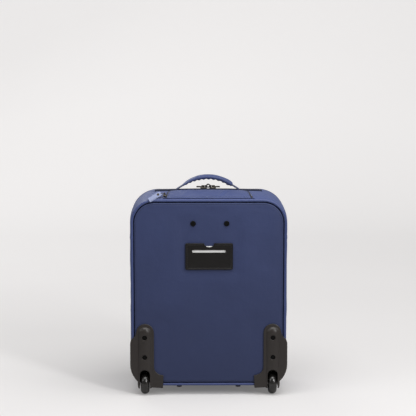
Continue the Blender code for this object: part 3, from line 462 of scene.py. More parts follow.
def skin_offset(x, y, z, nx, nz, along, seam_distance):
    """How far the cloth stands off the ideal case: slack, puckers at the seams, and the cross seams."""
    points = np.stack([x, y, z], 1)
    broad = soft_noise(points, 13.0, 3.1) * 0.0011 + soft_noise(points, 38.0, 8.7) * 0.0006 - 0.0003
    fade = smoothstep(0.0, 0.022, seam_distance)
    on_top = smoothstep(0.6, 0.95, nz)
    slack = broad * fade * (1 - 0.85 * on_top)
    pucker = np.sin(along * 2 * np.pi / 0.0125 + soft_noise(points, 30.0, 1.3) * 5.0)
    slack += pucker * 0.00032 * gauss(seam_distance - 0.006, 0.006) * (1 - on_top * 0.6)
    flank = smoothstep(0.8, 0.98, np.abs(nx))
    slack -= 0.0009 * gauss(z - CROSS_SEAM_Z, 0.0011) * flank
    slack += 0.0007 * gauss(z - CROSS_SEAM_Z + 0.004, 0.003) * flank
    slack += arch(x, y) * on_top
    by_housing = (1 - smoothstep(0.160, 0.190, z)) * smoothstep(0.088, 0.105, np.abs(x))
    by_housing = by_housing * (1 - smoothstep(-0.034, -0.020, y))
    under = smoothstep(0.8, 0.95, -nz)
    slack = np.where(under > 0.5, np.clip(slack, -0.0008, 0.0003), slack)
    return slack * (1 - by_housing) - 0.0003 * by_housing


def shell(name, depths, look, body, keep=None, marks=(), lift=None, pitch=0.0032):
    """A skin through the case's sections at the given depths. lift gives its height off the ideal surface."""
    rows, lengths = [], None
    for y in depths:
        points, normals = section(y, 0.0, marks, pitch)
        if lengths is None:
            steps = np.hypot(*(np.roll(points, -1, 0) - points).T)
            lengths = np.concatenate([[0.0], np.cumsum(steps)[:-1]])
        x, z = points.T
        depth = np.full(len(x), y)
        off = lift(x, depth, z, normals[:, 0], normals[:, 1], lengths)
        rows.append(np.stack([x + normals[:, 0] * off, depth, z + normals[:, 1] * off], 1))
    grid = np.array(rows)
    columns = grid.shape[1]

    def kept(i, j):
        k = (j + 1) % columns
        centre = (grid[i, j] + grid[i, k] + grid[i + 1, j] + grid[i + 1, k]) / 4
        return keep(centre)

    faces = [face[::-1] for face in grid_faces(len(grid), columns, True, kept if keep else None)]
    return new_piece(name, grid.reshape(-1, 3), faces, look, body)


WELL_BOXES = [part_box(f"wheel_tyre_{side}") for side in SIDES]


def in_well(x, z):
    """Whether a spot on the rear lies inside a wheel's slot."""
    return any(a.x - 0.0035 < x < b.x + 0.0035 and z < b.z + 0.0115 for a, b in WELL_BOXES)


def outside_openings(centre):
    """False where the skin is cut away for the trolley's tray or a wheel's well."""
    x, y, z = centre
    if abs(x) < OPENING_X and OPENING_Y[0] < y < OPENING_Y[1] and z > SEAM_HIGH - 0.02:
        return False
    for a, b in WELL_BOXES:
        if a.x - 0.0045 < x < b.x + 0.0045 and y < b.y + 0.006 and z < b.z + 0.011:
            return False
    return True


def spread_depths(start, end, pitch, stops=()):
    marks = [start] + sorted(stops) + [end]
    depths = []
    for a, b in zip(marks, marks[1:]):
        n = max(1, round((b - a) / pitch))
        depths += [a + (b - a) * i / n for i in range(n)]
    return depths + [end]


def case_skin():
    start, end = -0.0895, high("body_gusset").y
    depths = [start, -0.0885, -0.0870] + spread_depths(OPENING_Y[0], end, 0.0028, (OPENING_Y[1],))

    def lift(x, y, z, nx, nz, along):
        zip_guard = 0.0011 * gauss(end - 0.0022 - y, 0.0030) * (z > low("main_zip_body_side").z)
        return skin_offset(x, y, z, nx, nz, along, np.minimum(y - start, end + 0.004 - y)) + zip_guard

    skin = shell("body_shell", depths, "side", "case", outside_openings, (OPENING_X, -OPENING_X), lift)
    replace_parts(thicken(skin, SKIN_THICK), "body_gusset")


def lid_skin():
    start, end = low("lid_gusset").y, high("lid_gusset").y + 0.0022

    def lift(x, y, z, nx, nz, along):
        return skin_offset(x, y, z, nx, nz, along, np.minimum(y - start + 0.004, end - y))

    skin = shell("lid_shell", spread_depths(start, end, 0.0022), "side", "lid", None, (), lift)
    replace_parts(thicken(skin, SKIN_THICK), "lid_gusset")


def hinge_cloth():
    """The strip of cloth that joins the lid to the body, round the bottom between the zip's two ends."""
    start, end = high("body_gusset").y - 0.0030, low("lid_gusset").y + 0.0030
    foot = ZIP_FOOT + 0.004

    def lift(x, y, z, nx, nz, along):
        return 0.0003 - 0.0006 * gauss(y - (start + end) / 2, 0.0012)

    strip = shell("hinge_cloth", spread_depths(start, end, 0.0008), "webbing", None, lambda c: c[2] < foot,
                  (), lift)
    thicken(strip, 0.0008)
    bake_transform(strip)


# ---------------------------------------------------------------- flat sheets: panels, flap, straps

def inward_normals(loop):
    """Unit normals to the left of an anticlockwise loop of 2D points."""
    ahead, behind = np.roll(loop, -1, 0), np.roll(loop, 1, 0)
    along = ahead - behind
    along /= np.linalg.norm(along, axis=1)[:, None]
    return np.stack([-along[:, 1], along[:, 0]], 1)


def edge_distance(points, loop):
    a, b = loop, np.roll(loop, -1, 0)
    ab = b - a
    best = np.full(len(points), 1e9)
    for start in range(0, len(points), 4000):
        p = points[start:start + 4000, None, :]
        t = np.clip(((p - a) * ab).sum(2) / (ab * ab).sum(1), 0.0, 1.0)
        best[start:start + 4000] = np.linalg.norm(p - (a + t[..., None] * ab), axis=2).min(1)
    return best


def inside(points, loop):
    x, y = points.T
    result = np.zeros(len(points), bool)
    for (x0, y0), (x1, y1) in zip(loop, np.roll(loop, -1, 0)):
        crosses = (y0 > y) != (y1 > y)
        with np.errstate(divide="ignore", invalid="ignore"):
            result ^= crosses & (x < (x1 - x0) * (y - y0) / (y1 - y0) + x0)
    return result


def sheet(loop, pitch, rims):
    """(points, triangles, distance to the edge) of a mesh that fills a 2D loop, finer near its edge."""
    loop = np.asarray(loop, float)
    normals = inward_normals(loop)
    points = [loop] + [loop + normals * rim for rim in rims]
    (u0, v0), (u1, v1) = loop.min(0), loop.max(0)
    rows = []
    for i, v in enumerate(np.arange(v0 + pitch, v1, pitch * 0.87)):
        us = np.arange(u0 + pitch * (0.5 if i % 2 else 1.0), u1, pitch)
        rows.append(np.stack([us, np.full(len(us), v)], 1))
    field = np.concatenate(rows)
    field = field[inside(field, loop)]
    field = field[edge_distance(field, loop) > (rims[-1] if rims else 0.0) + pitch * 0.55]
    everything = np.concatenate(points + [field])
    outer = list(range(len(loop)))
    made = geometry.delaunay_2d_cdt([Vector(p) for p in everything], [], [outer], 1, 1e-7)
    verts = np.array([tuple(p) for p in made[0]])
    return verts, [tuple(f) for f in made[2]], edge_distance(verts, loop)


def rolled(distance, radius):
    """0 at the edge, rising round a quarter circle to 1 at radius from it."""
    t = np.clip(distance / radius, 0.0, 1.0)
    return np.sqrt(np.clip(1 - (1 - t) ** 2, 0.0, 1.0))


def panel_loop(inset=0.0, node="rear_panel"):
    a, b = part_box(node)
    return ring(b.x - inset, a.z + inset, b.z - inset, 0.045 - inset, 0.051 - inset)[0]


def calm_zone(x, z):
    """1 where something is fixed to the rear panel, so that the cloth lies flat there."""
    a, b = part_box("id_holder")
    holder = smoothstep(a.x - 0.030, a.x - 0.003, x) * (1 - smoothstep(b.x + 0.003, b.x + 0.030, x))
    # The card slides up past the holder's top, so the cloth stays flat there too.
    holder *= smoothstep(a.z - 0.030, a.z - 0.003, z) * (1 - smoothstep(b.z + 0.042, b.z + 0.070, z))
    zone = holder
    for name in SIDES:
        centre = middle(f"bezel_screw_{name}")
        zone = np.maximum(zone, 1 - smoothstep(0.006, 0.020, np.hypot(x - centre.x, z - centre.z)))
        a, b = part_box(f"wheel_housing_{name}")
        reach = 1 - smoothstep(b.z - 0.004, b.z + 0.038, z)
        reach *= smoothstep(a.x - 0.034, a.x, x) * (1 - smoothstep(b.x, b.x + 0.034, x))
        zone = np.maximum(zone, reach)
    return zone


def panel_swell(x, z):
    """How far the rear panel's cloth stands out from its flat face."""
    points = np.stack([x, np.zeros(len(x)), z], 1)
    pillow = 0.0016 * smoothstep(0.0, 0.07, z - 0.030) * (1 - smoothstep(-0.08, 0.0, z - 0.438))
    pillow = pillow * (1 - (np.abs(x) / 0.175) ** 3)
    ripple = soft_noise(points, 11.0, 5.5) * 0.0009 + soft_noise(points, 34.0, 2.2) * 0.00022
    low_folds = soft_noise(points * np.array([1.0, 1.0, 0.45]), 75.0, 9.1) * 0.0007
    low_folds = low_folds * (1 - smoothstep(0.050, 0.105, z)) * smoothstep(0.03, 0.10, np.abs(x))
    return (pillow + ripple + low_folds) * (1 - calm_zone(x, z))


STITCH_INSET = 0.0034


def rear_panel():
    loop = panel_loop()
    verts, faces, edge = sheet(loop, 0.0034, (0.0004, 0.0010, 0.0018, 0.0027, 0.0034, 0.0042, 0.0056))
    x, z = verts.T
    depth = high("rear_panel").y - PANEL_FACE_Y
    y = high("rear_panel").y - depth * rolled(edge, 0.0026)
    y = y - panel_swell(x, z) * smoothstep(0.004, 0.022, edge)
    y = y + 0.0005 * gauss(edge - STITCH_INSET, 0.0007)
    faces = [f[::-1] for f in faces if not in_well(*verts[list(f)].mean(0))]
    panel = new_piece("panel_cloth", np.stack([x, y, z], 1), faces, "panel", "case")
    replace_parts(panel, "rear_panel")
    facing_out(panel, (0, -1, 0))


def seam_ring(pitch=0.0032):
    """(points, outward normals) of the ring along which both panels are sewn to the walls."""
    inset = 0.0005
    return ring(SEAM_HALF - inset, SEAM_LOW + inset, SEAM_HIGH - inset, TOP_CORNER, BOTTOM_CORNER,
                pitch=pitch)


def seam_flange(name, body, y, face):
    """The sewn edges that show in the narrow gap between a panel and its piping, coloured near black as
    painted shade for the shadow in that gap.
    """
    outer = seam_ring()[0]
    inner = panel_loop(0.006)
    flat = np.concatenate([np.insert(outer + (inner - outer) * t, 1, y, 1) for t in (0.0, 0.35, 0.7, 1.0)])
    faces = [f for f in grid_faces(4, len(outer), True)
             if body == "lid" or not in_well(*flat[list(f)].mean(0)[::2])]
    flange = new_piece(name, flat, faces, "flange", body)
    thicken(facing_out(flange, (0, face, 0)), TAPE_THICK)


def tube_along(name, centres, outwards, radius, look, body, closed, keep=None, steps=12, flat=1.0):
    """A round cord along a path that lies in a plane of constant y. outwards are its in-plane normals."""
    centres, outwards = np.asarray(centres, float), np.asarray(outwards, float)
    radii = np.broadcast_to(radius, len(centres))
    angles = np.arange(steps) * 2 * np.pi / steps
    rows = []
    for centre, out, r in zip(centres, outwards, radii):
        rows.append([(centre[0] + out[0] * r * math.cos(a), centre[1] + flat * r * math.sin(a),
                      centre[2] + out[1] * r * math.cos(a)) for a in angles])
    grid = np.array(rows)
    n = len(grid)
    faces = []
    for i in range(n if closed else n - 1):
        k = (i + 1) % n
        if keep is not None and not (keep(centres[i]) and keep(centres[k])):
            continue
        for j in range(steps):
            m = (j + 1) % steps
            faces.append((i * steps + j, i * steps + m, k * steps + m, k * steps + j))
    return cleaned(new_piece(name, grid.reshape(-1, 3), faces, look, body), cap_sides=steps)


def piping(name, y, body, keep, nodes):
    points, normals = seam_ring(0.0026)
    centres = np.insert(points, 1, y, 1)
    radius = 0.0031 + 0.00012 * soft_noise(centres, 90.0, 4.0)
    on_flank = np.abs(normals[:, 0]) > 0.99
    radius = radius + np.where(on_flank, 0.0004 * gauss(centres[:, 2] - CROSS_SEAM_Z, 0.0035), 0.0)
    cord = tube_along(name, centres, normals, radius, "piping", body, True, keep)
    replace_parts(cord, *nodes)


# ---------------------------------------------------------------- threads and zip teeth

def beads(name, places, size, look, body):
    """Many small rounded beads. places are (centre, along, up); size is (length, width, height)."""
    length, width, tall = (s / 2 for s in size)
    ring_of_six = [(math.cos(math.radians(60 * i)), math.sin(math.radians(60 * i))) for i in range(6)]
    shape = [(-length, 0.0, 0.0)]
    for end in (-1, 1):
        shape += [(end * length * 0.72, c * width, s * tall) for c, s in ring_of_six]
    shape.append((length, 0.0, 0.0))
    shape = np.array(shape)
    tris = [(0, 1 + (i + 1) % 6, 1 + i) for i in range(6)]
    tris += [(1 + i, 1 + (i + 1) % 6, 7 + (i + 1) % 6, 7 + i) for i in range(6)]
    tris += [(13, 7 + i, 7 + (i + 1) % 6) for i in range(6)]
    verts, faces = [], []
    for number, (centre, along, up) in enumerate(places):
        along = Vector(along).normalized()
        up = (Vector(up) - along * Vector(up).dot(along)).normalized()
        axes = np.array([along, up.cross(along), up])
        verts.append(shape @ axes + np.array(centre))
        faces += [tuple(k + 14 * number for k in f) for f in tris]
    return new_piece(name, np.concatenate(verts), faces, look, body)


def stations(path, pitch, start=0.0):
    """Evenly spaced (point, direction) pairs along a line of 3D points."""
    path = np.asarray(path, float)
    steps = np.linalg.norm(np.diff(path, axis=0), axis=1)
    total = path_lengths(path)
    found = []
    for s in np.arange(start, total[-1], pitch):
        i = min(int(np.searchsorted(total, s, side="right")) - 1, len(steps) - 1)
        t = (s - total[i]) / steps[i]
        found.append((path[i] + (path[i + 1] - path[i]) * t, (path[i + 1] - path[i]) / steps[i]))
    return found


def stitches(name, path, up, look, body, pitch=0.0034, long=0.0026, wide=0.0007, skip=None):
    """A line of machine stitches. up is a direction or a function of the point."""
    places = []
    for point, along in stations(path, pitch):
        if skip is None or not skip(point):
            places.append((point, along, up(point) if callable(up) else up))
    return beads(name, places, (long, wide, wide * 0.8), look, body)


# ---------------------------------------------------------------- top: flap, its zip, straps

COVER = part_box("handle_cover")
COVER_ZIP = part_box("cover_zip")
FRONT_GROWTH = 0.0026


def cover_line(grow=0.0, pitch=0.003):
    """The flap's open U line, from its rear right corner round the front to its rear left corner.

    Lines outside the flap lie closer together across the front than along its sides."""
    half, front = COVER[1].x + grow, COVER[1].y + min(grow, FRONT_GROWTH)
    taper, corner = 0.004, 0.026 + grow
    rear = COVER[0].y
    narrow = half - taper - corner
    points = [(half, rear)]
    for x, start in ((narrow, 0), (-narrow, 90)):
        for i in range(10):
            a = math.radians(start + 10 * i)
            points.append((x + corner * math.cos(a), front - corner + corner * math.sin(a)))
    points.append((-half, rear))
    return spaced(points, pitch) + [points[-1]]


def on_top(line, height):
    """Lays a 2D line on the case's top surface, at a height above it."""
    return [(x, y, float(top_surface(x, y)) + height) for x, y in line]


def crease(x, y, start, end, width):
    """A soft ridge along a line in plan, fading at both ends."""
    a, b = np.array(start), np.array(end)
    along = (b - a) / np.linalg.norm(b - a)
    px, py = x - a[0], y - a[1]
    t = (px * along[0] + py * along[1]) / np.linalg.norm(b - a)
    off = px * -along[1] + py * along[0]
    return gauss(off, width) * smoothstep(-0.1, 0.2, t) * (1 - smoothstep(0.75, 1.1, t))


# Each crease runs between two points in plan, with a width and a height.
FLAP_CREASES = [((0.020, -0.086), (0.038, -0.030), 0.0026, 0.0022),
                ((0.027, -0.085), (0.046, -0.034), 0.0040, -0.0014),
                ((-0.060, -0.080), (-0.045, -0.028), 0.0045, 0.0006),
                ((-0.010, -0.030), (0.030, -0.024), 0.004, 0.0005)]


def flap_height(x, y):
    points = np.stack([x, y, np.zeros(len(x))], 1)
    lift = soft_noise(points, 28.0, 6.0) * 0.0006
    for start, end, width, tall in FLAP_CREASES:
        lift = lift + tall * crease(x, y, start, end, width)
    return lift


def flap():
    line = cover_line()
    rear = [(x, COVER[0].y) for x in np.linspace(line[-1][0], line[0][0], 62)[1:-1]]
    verts, faces, edge = sheet(line + rear, 0.0030, (0.0004, 0.0009, 0.0015, 0.0024, 0.0034))
    x, y = verts.T
    from_rear = y - COVER[0].y
    side_edge = np.where(from_rear < edge + 1e-6, 0.02, edge)
    thick = 0.0021 * rolled(np.minimum(edge, side_edge), 0.0014)
    hem = 0.0004 * (1 - smoothstep(0.0032, 0.0040, from_rear)) - 0.0006 * gauss(from_rear - 0.0044, 0.0006)
    z = top_surface(x, y) + 0.0005 + thick + hem + flap_height(x, y) * smoothstep(0.004, 0.016, edge)
    z = z - 0.0004 * gauss(edge - 0.0030, 0.0006) * (from_rear > 0.006)
    cover = new_piece("flap_cloth", np.stack([x, y, z], 1), faces, "flap", None)
    thicken(facing_out(cover, UP), 0.0009)
    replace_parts(cover, "handle_cover")
    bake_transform(cover)
    stitches("flap_stitches", on_top(cover_line(-0.0030), 0.0026), UP, "thread", "handle_cover",
             skip=lambda p: p[1] < COVER[0].y + 0.008)
    row = on_top([(px, COVER[0].y + 0.0056) for px in np.linspace(-0.086, 0.086, 60)], 0.0027)
    stitches("flap_hem_stitches", row, UP, "dark_thread", "handle_cover")


def drape(name, line, profile, look, body):
    """A strip over the case's top, along 2D points. profile is (distance to their right, height) pairs."""
    line = np.asarray(line, float)
    along = np.gradient(line, axis=0)
    along /= np.linalg.norm(along, axis=1)[:, None]
    right = np.stack([along[:, 1], -along[:, 0]], 1)
    rows = []
    for across, tall in profile:
        p = line + right * across
        rows.append(np.stack([p[:, 0], p[:, 1], top_surface(p[:, 0], p[:, 1]) + tall], 1))
    return rows_piece(name, rows, look, body)


def nested(name, profile, look):
    """A strip round the flap through cover lines at the given (distance out, height) pairs."""
    rows = []
    for grow, tall in profile:
        line = resampled(cover_line(grow), 150)
        rows.append(np.insert(line, 2, top_surface(*line.T) + tall, 1))
    strip = rows_piece(name, rows, look, "case")
    return thicken(facing_out(strip, UP), TAPE_THICK)


def resampled(line, count):
    """The line's points spread evenly by their share of its length."""
    line = np.asarray(line, float)
    total = path_lengths(line)
    wanted = np.linspace(0.0, total[-1], count)
    return np.stack([np.interp(wanted, total, line[:, 0]), np.interp(wanted, total, line[:, 1])], 1)


def cover_zip():
    width = COVER_ZIP[1].x - COVER[1].x
    tape = nested("cover_zip_tape", [(0.0003, 0.0001), (0.0005, 0.0011), (0.0014, 0.0014), (0.0026, 0.0012),
                                     (width - 0.0012, 0.0010), (width, 0.0004)], "zip_tape")
    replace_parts(tape, "cover_zip")
    places = [(point, Vector(along).cross(Vector(UP)), UP)
              for point, along in stations(on_top(cover_line(0.0013), 0.0019), 0.0013)]
    beads("cover_zip_coil", places, (0.0020, 0.0009, 0.0011), "coil", "case")
    nested("cover_opening_hem", [(0.0030, 0.0003), (0.0032, 0.0015), (0.0040, 0.0020), (0.0056, 0.0019),
                                 (0.0078, 0.0013), (0.0090, -0.0002)], "side")
    stitches("cover_opening_stitches", on_top(cover_line(0.0046), 0.0019), UP, "thread", "case")
    stop = on_top([(COVER[1].x + 0.0022, COVER[0].y + 0.0065)], 0.0020)[0]
    beads("cover_zip_stop", [(stop, (0, 1, 0), UP)], (0.0052, 0.0050, 0.0026), "antique", "case")


def base_strap():
    a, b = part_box("carry_base_strap")
    y = (a.y + b.y) / 2
    half_width = (b.y - a.y) / 2
    line = [(x, y) for x in np.linspace(b.x, a.x, 90)]
    profile = [(-half_width, 0.0001), (-half_width + 0.0002, 0.0016), (-half_width + 0.0010, 0.0023),
               (-0.004, 0.0024)]
    profile += [(-across, tall) for across, tall in reversed(profile)]
    # Its near black colour is painted shade for the shadow line along the strap.
    strap = drape("base_webbing", line, profile, "dark_webbing", "case")
    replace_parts(thicken(facing_out(strap, UP), TAPE_THICK), "carry_base_strap")
    for number, x in enumerate((a.x + 0.006, a.x + 0.030, b.x - 0.030, b.x - 0.006)):
        row = on_top([(x, py) for py in np.linspace(a.y + 0.002, b.y - 0.002, 12)], 0.0022)
        stitches(f"base_webbing_stitches_{number}", row, UP, "thread", "case", pitch=0.0028, long=0.0022)


# ---------------------------------------------------------------- carry handle

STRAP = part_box("carry_strap")
HANDLE_X = (STRAP[0].x + STRAP[1].x) / 2
HANDLE_Y = (STRAP[0].y + STRAP[1].y) / 2


def handle_line():
    """The handle's middle line: two straight legs, and an arc between them."""
    foot_x, bend_x = 0.071, 0.056
    apex = STRAP[1].z - 0.0012
    foot_z, bend_z = STRAP[0].z + 0.0009, apex - 0.0190
    rise = apex - bend_z
    radius = (bend_x ** 2 + rise ** 2) / (2 * rise)
    sweep = math.asin(bend_x / radius)
    arc = [(HANDLE_X + radius * math.sin(a), apex - radius + radius * math.cos(a))
           for a in np.linspace(-sweep, sweep, 61)]
    leg = lambda side, t: (HANDLE_X + side * (foot_x + (bend_x - foot_x) * t), foot_z + (bend_z - foot_z) * t)
    left = [leg(-1, t) for t in np.linspace(0, 1, 8)[:-1]]
    right = [leg(1, t) for t in np.linspace(1, 0, 8)[1:]]
    return left + arc + right


def loft_along(name, line, cross, look, body):
    """A closed skin along a line (x, z). cross(i) gives the outline as (side to side, up) offsets."""
    line = np.asarray(line, float)
    along = np.gradient(line, axis=0)
    along /= np.linalg.norm(along, axis=1)[:, None]
    up = np.stack([-along[:, 1], along[:, 0]], 1)
    rows = []
    for i, (point, normal) in enumerate(zip(line, up)):
        rows.append([(point[0] + normal[0] * v, HANDLE_Y + u, point[1] + normal[1] * v) for u, v in cross(i)])
    return cleaned(rows_piece(name, rows, look, body, closed=True, capped=True))


def oval(half_wide, half_tall, power, count=28):
    """A rounded-rectangle outline as (side, up) pairs; power 2 is an ellipse."""
    points = []
    for i in range(count):
        a = 2 * math.pi * i / count
        c, s = math.cos(a), math.sin(a)
        points.append((half_wide * math.copysign(abs(c) ** (2 / power), c),
                       half_tall * math.copysign(abs(s) ** (2 / power), s)))
    return points


SLEEVE_STEP = 0.0008


def carry_handle():
    line = handle_line()
    grip = [p for p in line if abs(p[0] - HANDLE_X) < 0.0561 and p[1] > STRAP[1].z - 0.0205]
    fine = [p for p, _ in stations(grip, SLEEVE_STEP)]
    count = len(fine)

    def half_height(i):
        """Half the sleeve's height, and how far it has closed up towards its ends."""
        share = i / (count - 1)
        left = 1 - math.exp(-i * SLEEVE_STEP / 0.0060)
        right = 1 - math.exp(-(count - 1 - i) * SLEEVE_STEP / 0.0016)
        swell = 0.0018 * float(smoothstep(0.0, 0.42, share))
        swell += 0.0004 * math.exp(-((share - 0.90) / 0.07) ** 2)
        return 0.0020 + (0.0014 + swell) * left * right, left * right

    def cross(i):
        s = i * SLEEVE_STEP
        half_tall, closed = half_height(i)
        half_wide = 0.0116 + 0.0026 * closed
        fold = math.sin(s * 2 * math.pi / 0.0112 + 1.3 * math.sin(s * 31.0)) * closed
        outline = []
        for u, v in oval(half_wide, half_tall, 2.6):
            under = max(0.0, -v / half_tall)
            top_lump = noise.noise(Vector((s * 60.0, u * 90.0, 2.0))) * 0.00035
            outline.append((u, v + under * 0.0010 * fold + (1 - under) * top_lump))
        return outline

    sleeve = loft_along("carry_sleeve", fine, cross, "sleeve", "carry_handle")
    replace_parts(sleeve, "carry_grip")
    places = []
    for i in range(6, count - 6, 4):
        along = Vector((fine[i + 1][0] - fine[i - 1][0], 0.0, fine[i + 1][1] - fine[i - 1][1])).normalized()
        up = Vector((-along.z, 0.0, along.x))
        centre = Vector((fine[i][0], HANDLE_Y, fine[i][1]))
        places.append((centre - up * (half_height(i)[0] - 0.0004), along, -up))
    beads("carry_sleeve_stitches", places, (0.0027, 0.0008, 0.0007), "thread", "carry_handle")

    legs = [p for p, _ in stations(line, 0.0016)] + [np.array(line[-1])]
    strap = loft_along("carry_webbing", legs, lambda i: oval(0.0108, 0.0013, 5.0, 20), "webbing", None)
    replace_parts(strap, "carry_strap")
    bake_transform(strap)


# ---------------------------------------------------------------- cover pull

TAB_TILT = 0.55


def tab_droop(s):
    """How far the tab hangs below its straight line at the distance s from its bar."""
    return -0.0078 * max(0.0, s / 0.030) ** 1.15


def cover_pull():
    """A pale cloth tab with an eyelet, that hangs over the rear rim."""
    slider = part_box("cover_slider")
    start = Vector((-0.1085, (slider[0].y + slider[1].y) / 2, high("cover_pull").z - 0.0011))
    along = Vector((-0.81, -0.566, -0.152)).normalized()
    face = Vector((0.0, -0.259, 0.966))
    face = (face - along * face.dot(along)).normalized()
    side = face.cross(along)
    length, half = 0.0302, 0.0050
    rows = []
    for s in np.linspace(-0.0030, length, 48):
        droop = tab_droop(s)
        wide = half * (1 - 0.16 * math.exp(-((s - length) / 0.0012) ** 2)
                       - 0.2 * math.exp(-((s + 0.001) / 0.0015) ** 2))
        outline = []
        for u, v in oval(wide, 0.00105, 5.0, 22):
            lump = noise.noise(Vector((s * 150, u * 200, 5.0))) * 0.00018
            outline.append(start + along * s + side * u + face * (v + lump)
                           + Vector((0, 0, droop - TAB_TILT * u)))
        rows.append(outline)
    tab = cleaned(rows_piece("pull_tab", rows, "tab", "cover_pull", closed=True, capped=True))
    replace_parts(tab, "cover_pull")
    soft = [tab]
    eye = start + along * 0.0055 + Vector((0, 0, tab_droop(0.0055)))
    tilted = (side - Vector((0, 0, TAB_TILT))).normalized()
    down = (along + Vector((0, 0, -0.26))).normalized()
    frame_matrix = Matrix((down, tilted, down.cross(tilted))).transposed().to_4x4()
    bar_end = middle("cover_slider").x + 0.0025
    bar = [(0.0, bar_end), (0.0009, bar_end), (0.0009, start.x - 0.0006), (0.0, start.x - 0.0006)]
    lathe("pull_bar", bar, Matrix.Translation((0.0, start.y, start.z)) @ ALONG_X, "antique", "cover_pull",
          16)
    place = Matrix.Translation(eye) @ frame_matrix
    eyelet = [(0.0014, 0.0013), (0.0017, 0.0018), (0.0024, 0.0019), (0.0030, 0.0016), (0.0031, 0.0011)]
    soft.append(lathe("pull_eyelet", mirrored(eyelet), place, "antique", "cover_pull", 28))
    # The eyelet's hole is filled with a black disc: painted shade for the dark hole.
    soft.append(lathe("pull_eyelet_hole", mirrored([(0.0, 0.0012), (0.0015, 0.0012)]), place, "screw",
                      "cover_pull", 20))
    edge = []
    for s in np.linspace(0.0095, length - 0.0012, 20):
        edge.append(start + along * s + (side - Vector((0, 0, TAB_TILT))) * (half - 0.0012) + face * 0.0011
                    + Vector((0, 0, tab_droop(s))))
    other = [p - (side - Vector((0, 0, TAB_TILT))) * 2 * (half - 0.0012) for p in edge]
    for label, path in (("a", edge), ("b", other)):
        soft.append(stitches(f"pull_stitches_{label}", path, face, "thread", "cover_pull", pitch=0.0024,
                             long=0.0018, wide=0.0005))
    # Over the rear rim the tab hangs down. Further forwards the top is higher. Each piece of the pull gets a
    # mesh of its own.
    for piece in soft:
        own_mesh(piece)


def lathe(name, profile, place, look, body, steps):
    """A closed profile of (radius, height) points turned about the local Z axis, then put in place."""
    rows = []
    angles = [2 * math.pi * i / steps for i in range(steps)]
    for radius, height in profile:
        rows.append([(radius * math.cos(t), radius * math.sin(t), height) for t in angles])
    rows.append(rows[0])
    turned = [[place @ Vector(v) for v in row] for row in rows]
    return cleaned(rows_piece(name, turned, look, body, closed=True), merge=1e-6)


# ---------------------------------------------------------------- main zip

# The teeth of a zip's two sides lie half a pitch apart.
COIL_PITCH = 0.0015


def main_zip():
    split = (high("main_zip_body_side").y + low("main_zip_lid_side").y) / 2
    for side, node, body in ((-1, "main_zip_body_side", "case"), (1, "main_zip_lid_side", "lid")):
        a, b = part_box(node)
        edge, inner = (a.y, b.y) if side < 0 else (b.y, a.y)
        depths = [inner + (edge - inner) * t for t in (0.0, 0.12, 0.3, 0.5, 0.7, 0.88, 1.0)]
        heights = [0.0003, 0.0006, 0.0006, 0.0006, 0.0005, 0.0004, -0.0002]
        chosen = dict(zip(depths, heights))

        def lift(x, y, z, nx, nz, along):
            return np.full(len(x), chosen[float(y[0])])

        tape = shell(f"zip_tape_{body}", sorted(depths), "zip_tape", body, lambda c: c[2] > ZIP_FOOT, (),
                     lift)
        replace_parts(thicken(tape, TAPE_THICK), node)
        y = split + side * 0.0009
        points, normals = section(y)
        start = int(np.argmin(np.abs(points[:, 1] - ZIP_FOOT) + (points[:, 0] < 0) * 1.0))
        line, outwards = np.roll(points, -start, 0), np.roll(normals, -start, 0)
        above = line[:, 1] > ZIP_FOOT
        line, outwards = line[above], outwards[above]
        path = np.insert(line + outwards * 0.0009, 1, y, 1)
        places = []
        for point, _ in stations(path, COIL_PITCH, COIL_PITCH / 2 * (side > 0)):
            i = int(np.argmin(((path - point) ** 2).sum(1)))
            places.append((point, (0, 1, 0), (outwards[i][0], 0, outwards[i][1])))
        beads(f"zip_coil_{body}", places, (0.0026, 0.0010, 0.0014), "coil", body)


# ---------------------------------------------------------------- address holder, screws and wheels

def holder():
    """The leatherette holder keeps its CAD shape with rounded edges, and gets a raised rim and stitches."""
    a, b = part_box("id_holder")
    rounded(dress("id_holder", "leather"), 0.0007, 3)
    cx, cz = (a.x + b.x) / 2, (a.z + b.z) / 2
    notch = 0.0140

    def rectangle(inset):
        return rounded_rectangle(cx, cz, (b.x - a.x) / 2 - inset, (b.z - a.z) / 2 - inset, 0.0022, 0.002)

    loop = np.array(rectangle(0.0019))
    normals = -inward_normals(loop)
    centres = np.insert(loop, 1, a.y + 0.0002, 1)
    top = b.z - 0.008
    at_notch = lambda p: abs(p[0] - cx) < notch and p[2] > top
    tube_along("holder_rim", centres, normals, 0.0010, "leather", "case", True, lambda p: not at_notch(p),
               steps=10, flat=0.55)
    path = [(x, a.y - 0.0001, z) for x, z in rectangle(0.0042)]
    stitches("holder_stitches", path + path[:1], (0, -1, 0), "black_thread", "case", pitch=0.0030,
             long=0.0022, wide=0.0006, skip=at_notch)


def rounded(obj, width, segments=2):
    """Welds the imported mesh's split corners and rounds its edges, without touching the mesh itself."""
    join = obj.modifiers.new("weld", "WELD")
    join.merge_threshold = 0.00001
    bevel = obj.modifiers.new("edge", "BEVEL")
    bevel.width = width
    bevel.segments = segments
    bevel.limit_method = "ANGLE"
    bevel.angle_limit = math.radians(28)
    bevel.harden_normals = True
    return obj


def plumper(obj, amount):
    """Swells a small casting outwards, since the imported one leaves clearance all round."""
    swell = obj.modifiers.new("swell", "DISPLACE")
    swell.mid_level = 0.0
    swell.strength = amount
    return obj


def remeshed(obj, voxel, smooth_steps):
    """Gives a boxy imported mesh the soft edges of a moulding."""
    remesh = obj.modifiers.new("mould", "REMESH")
    remesh.mode = "VOXEL"
    remesh.voxel_size = voxel
    remesh.use_smooth_shade = True
    smooth = obj.modifiers.new("soften", "SMOOTH")
    smooth.factor = 0.5
    smooth.iterations = smooth_steps
    return obj


def dress(node, look):
    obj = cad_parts[node]
    obj.data.materials.clear()
    obj.data.materials.append(LOOKS[look])
    return obj


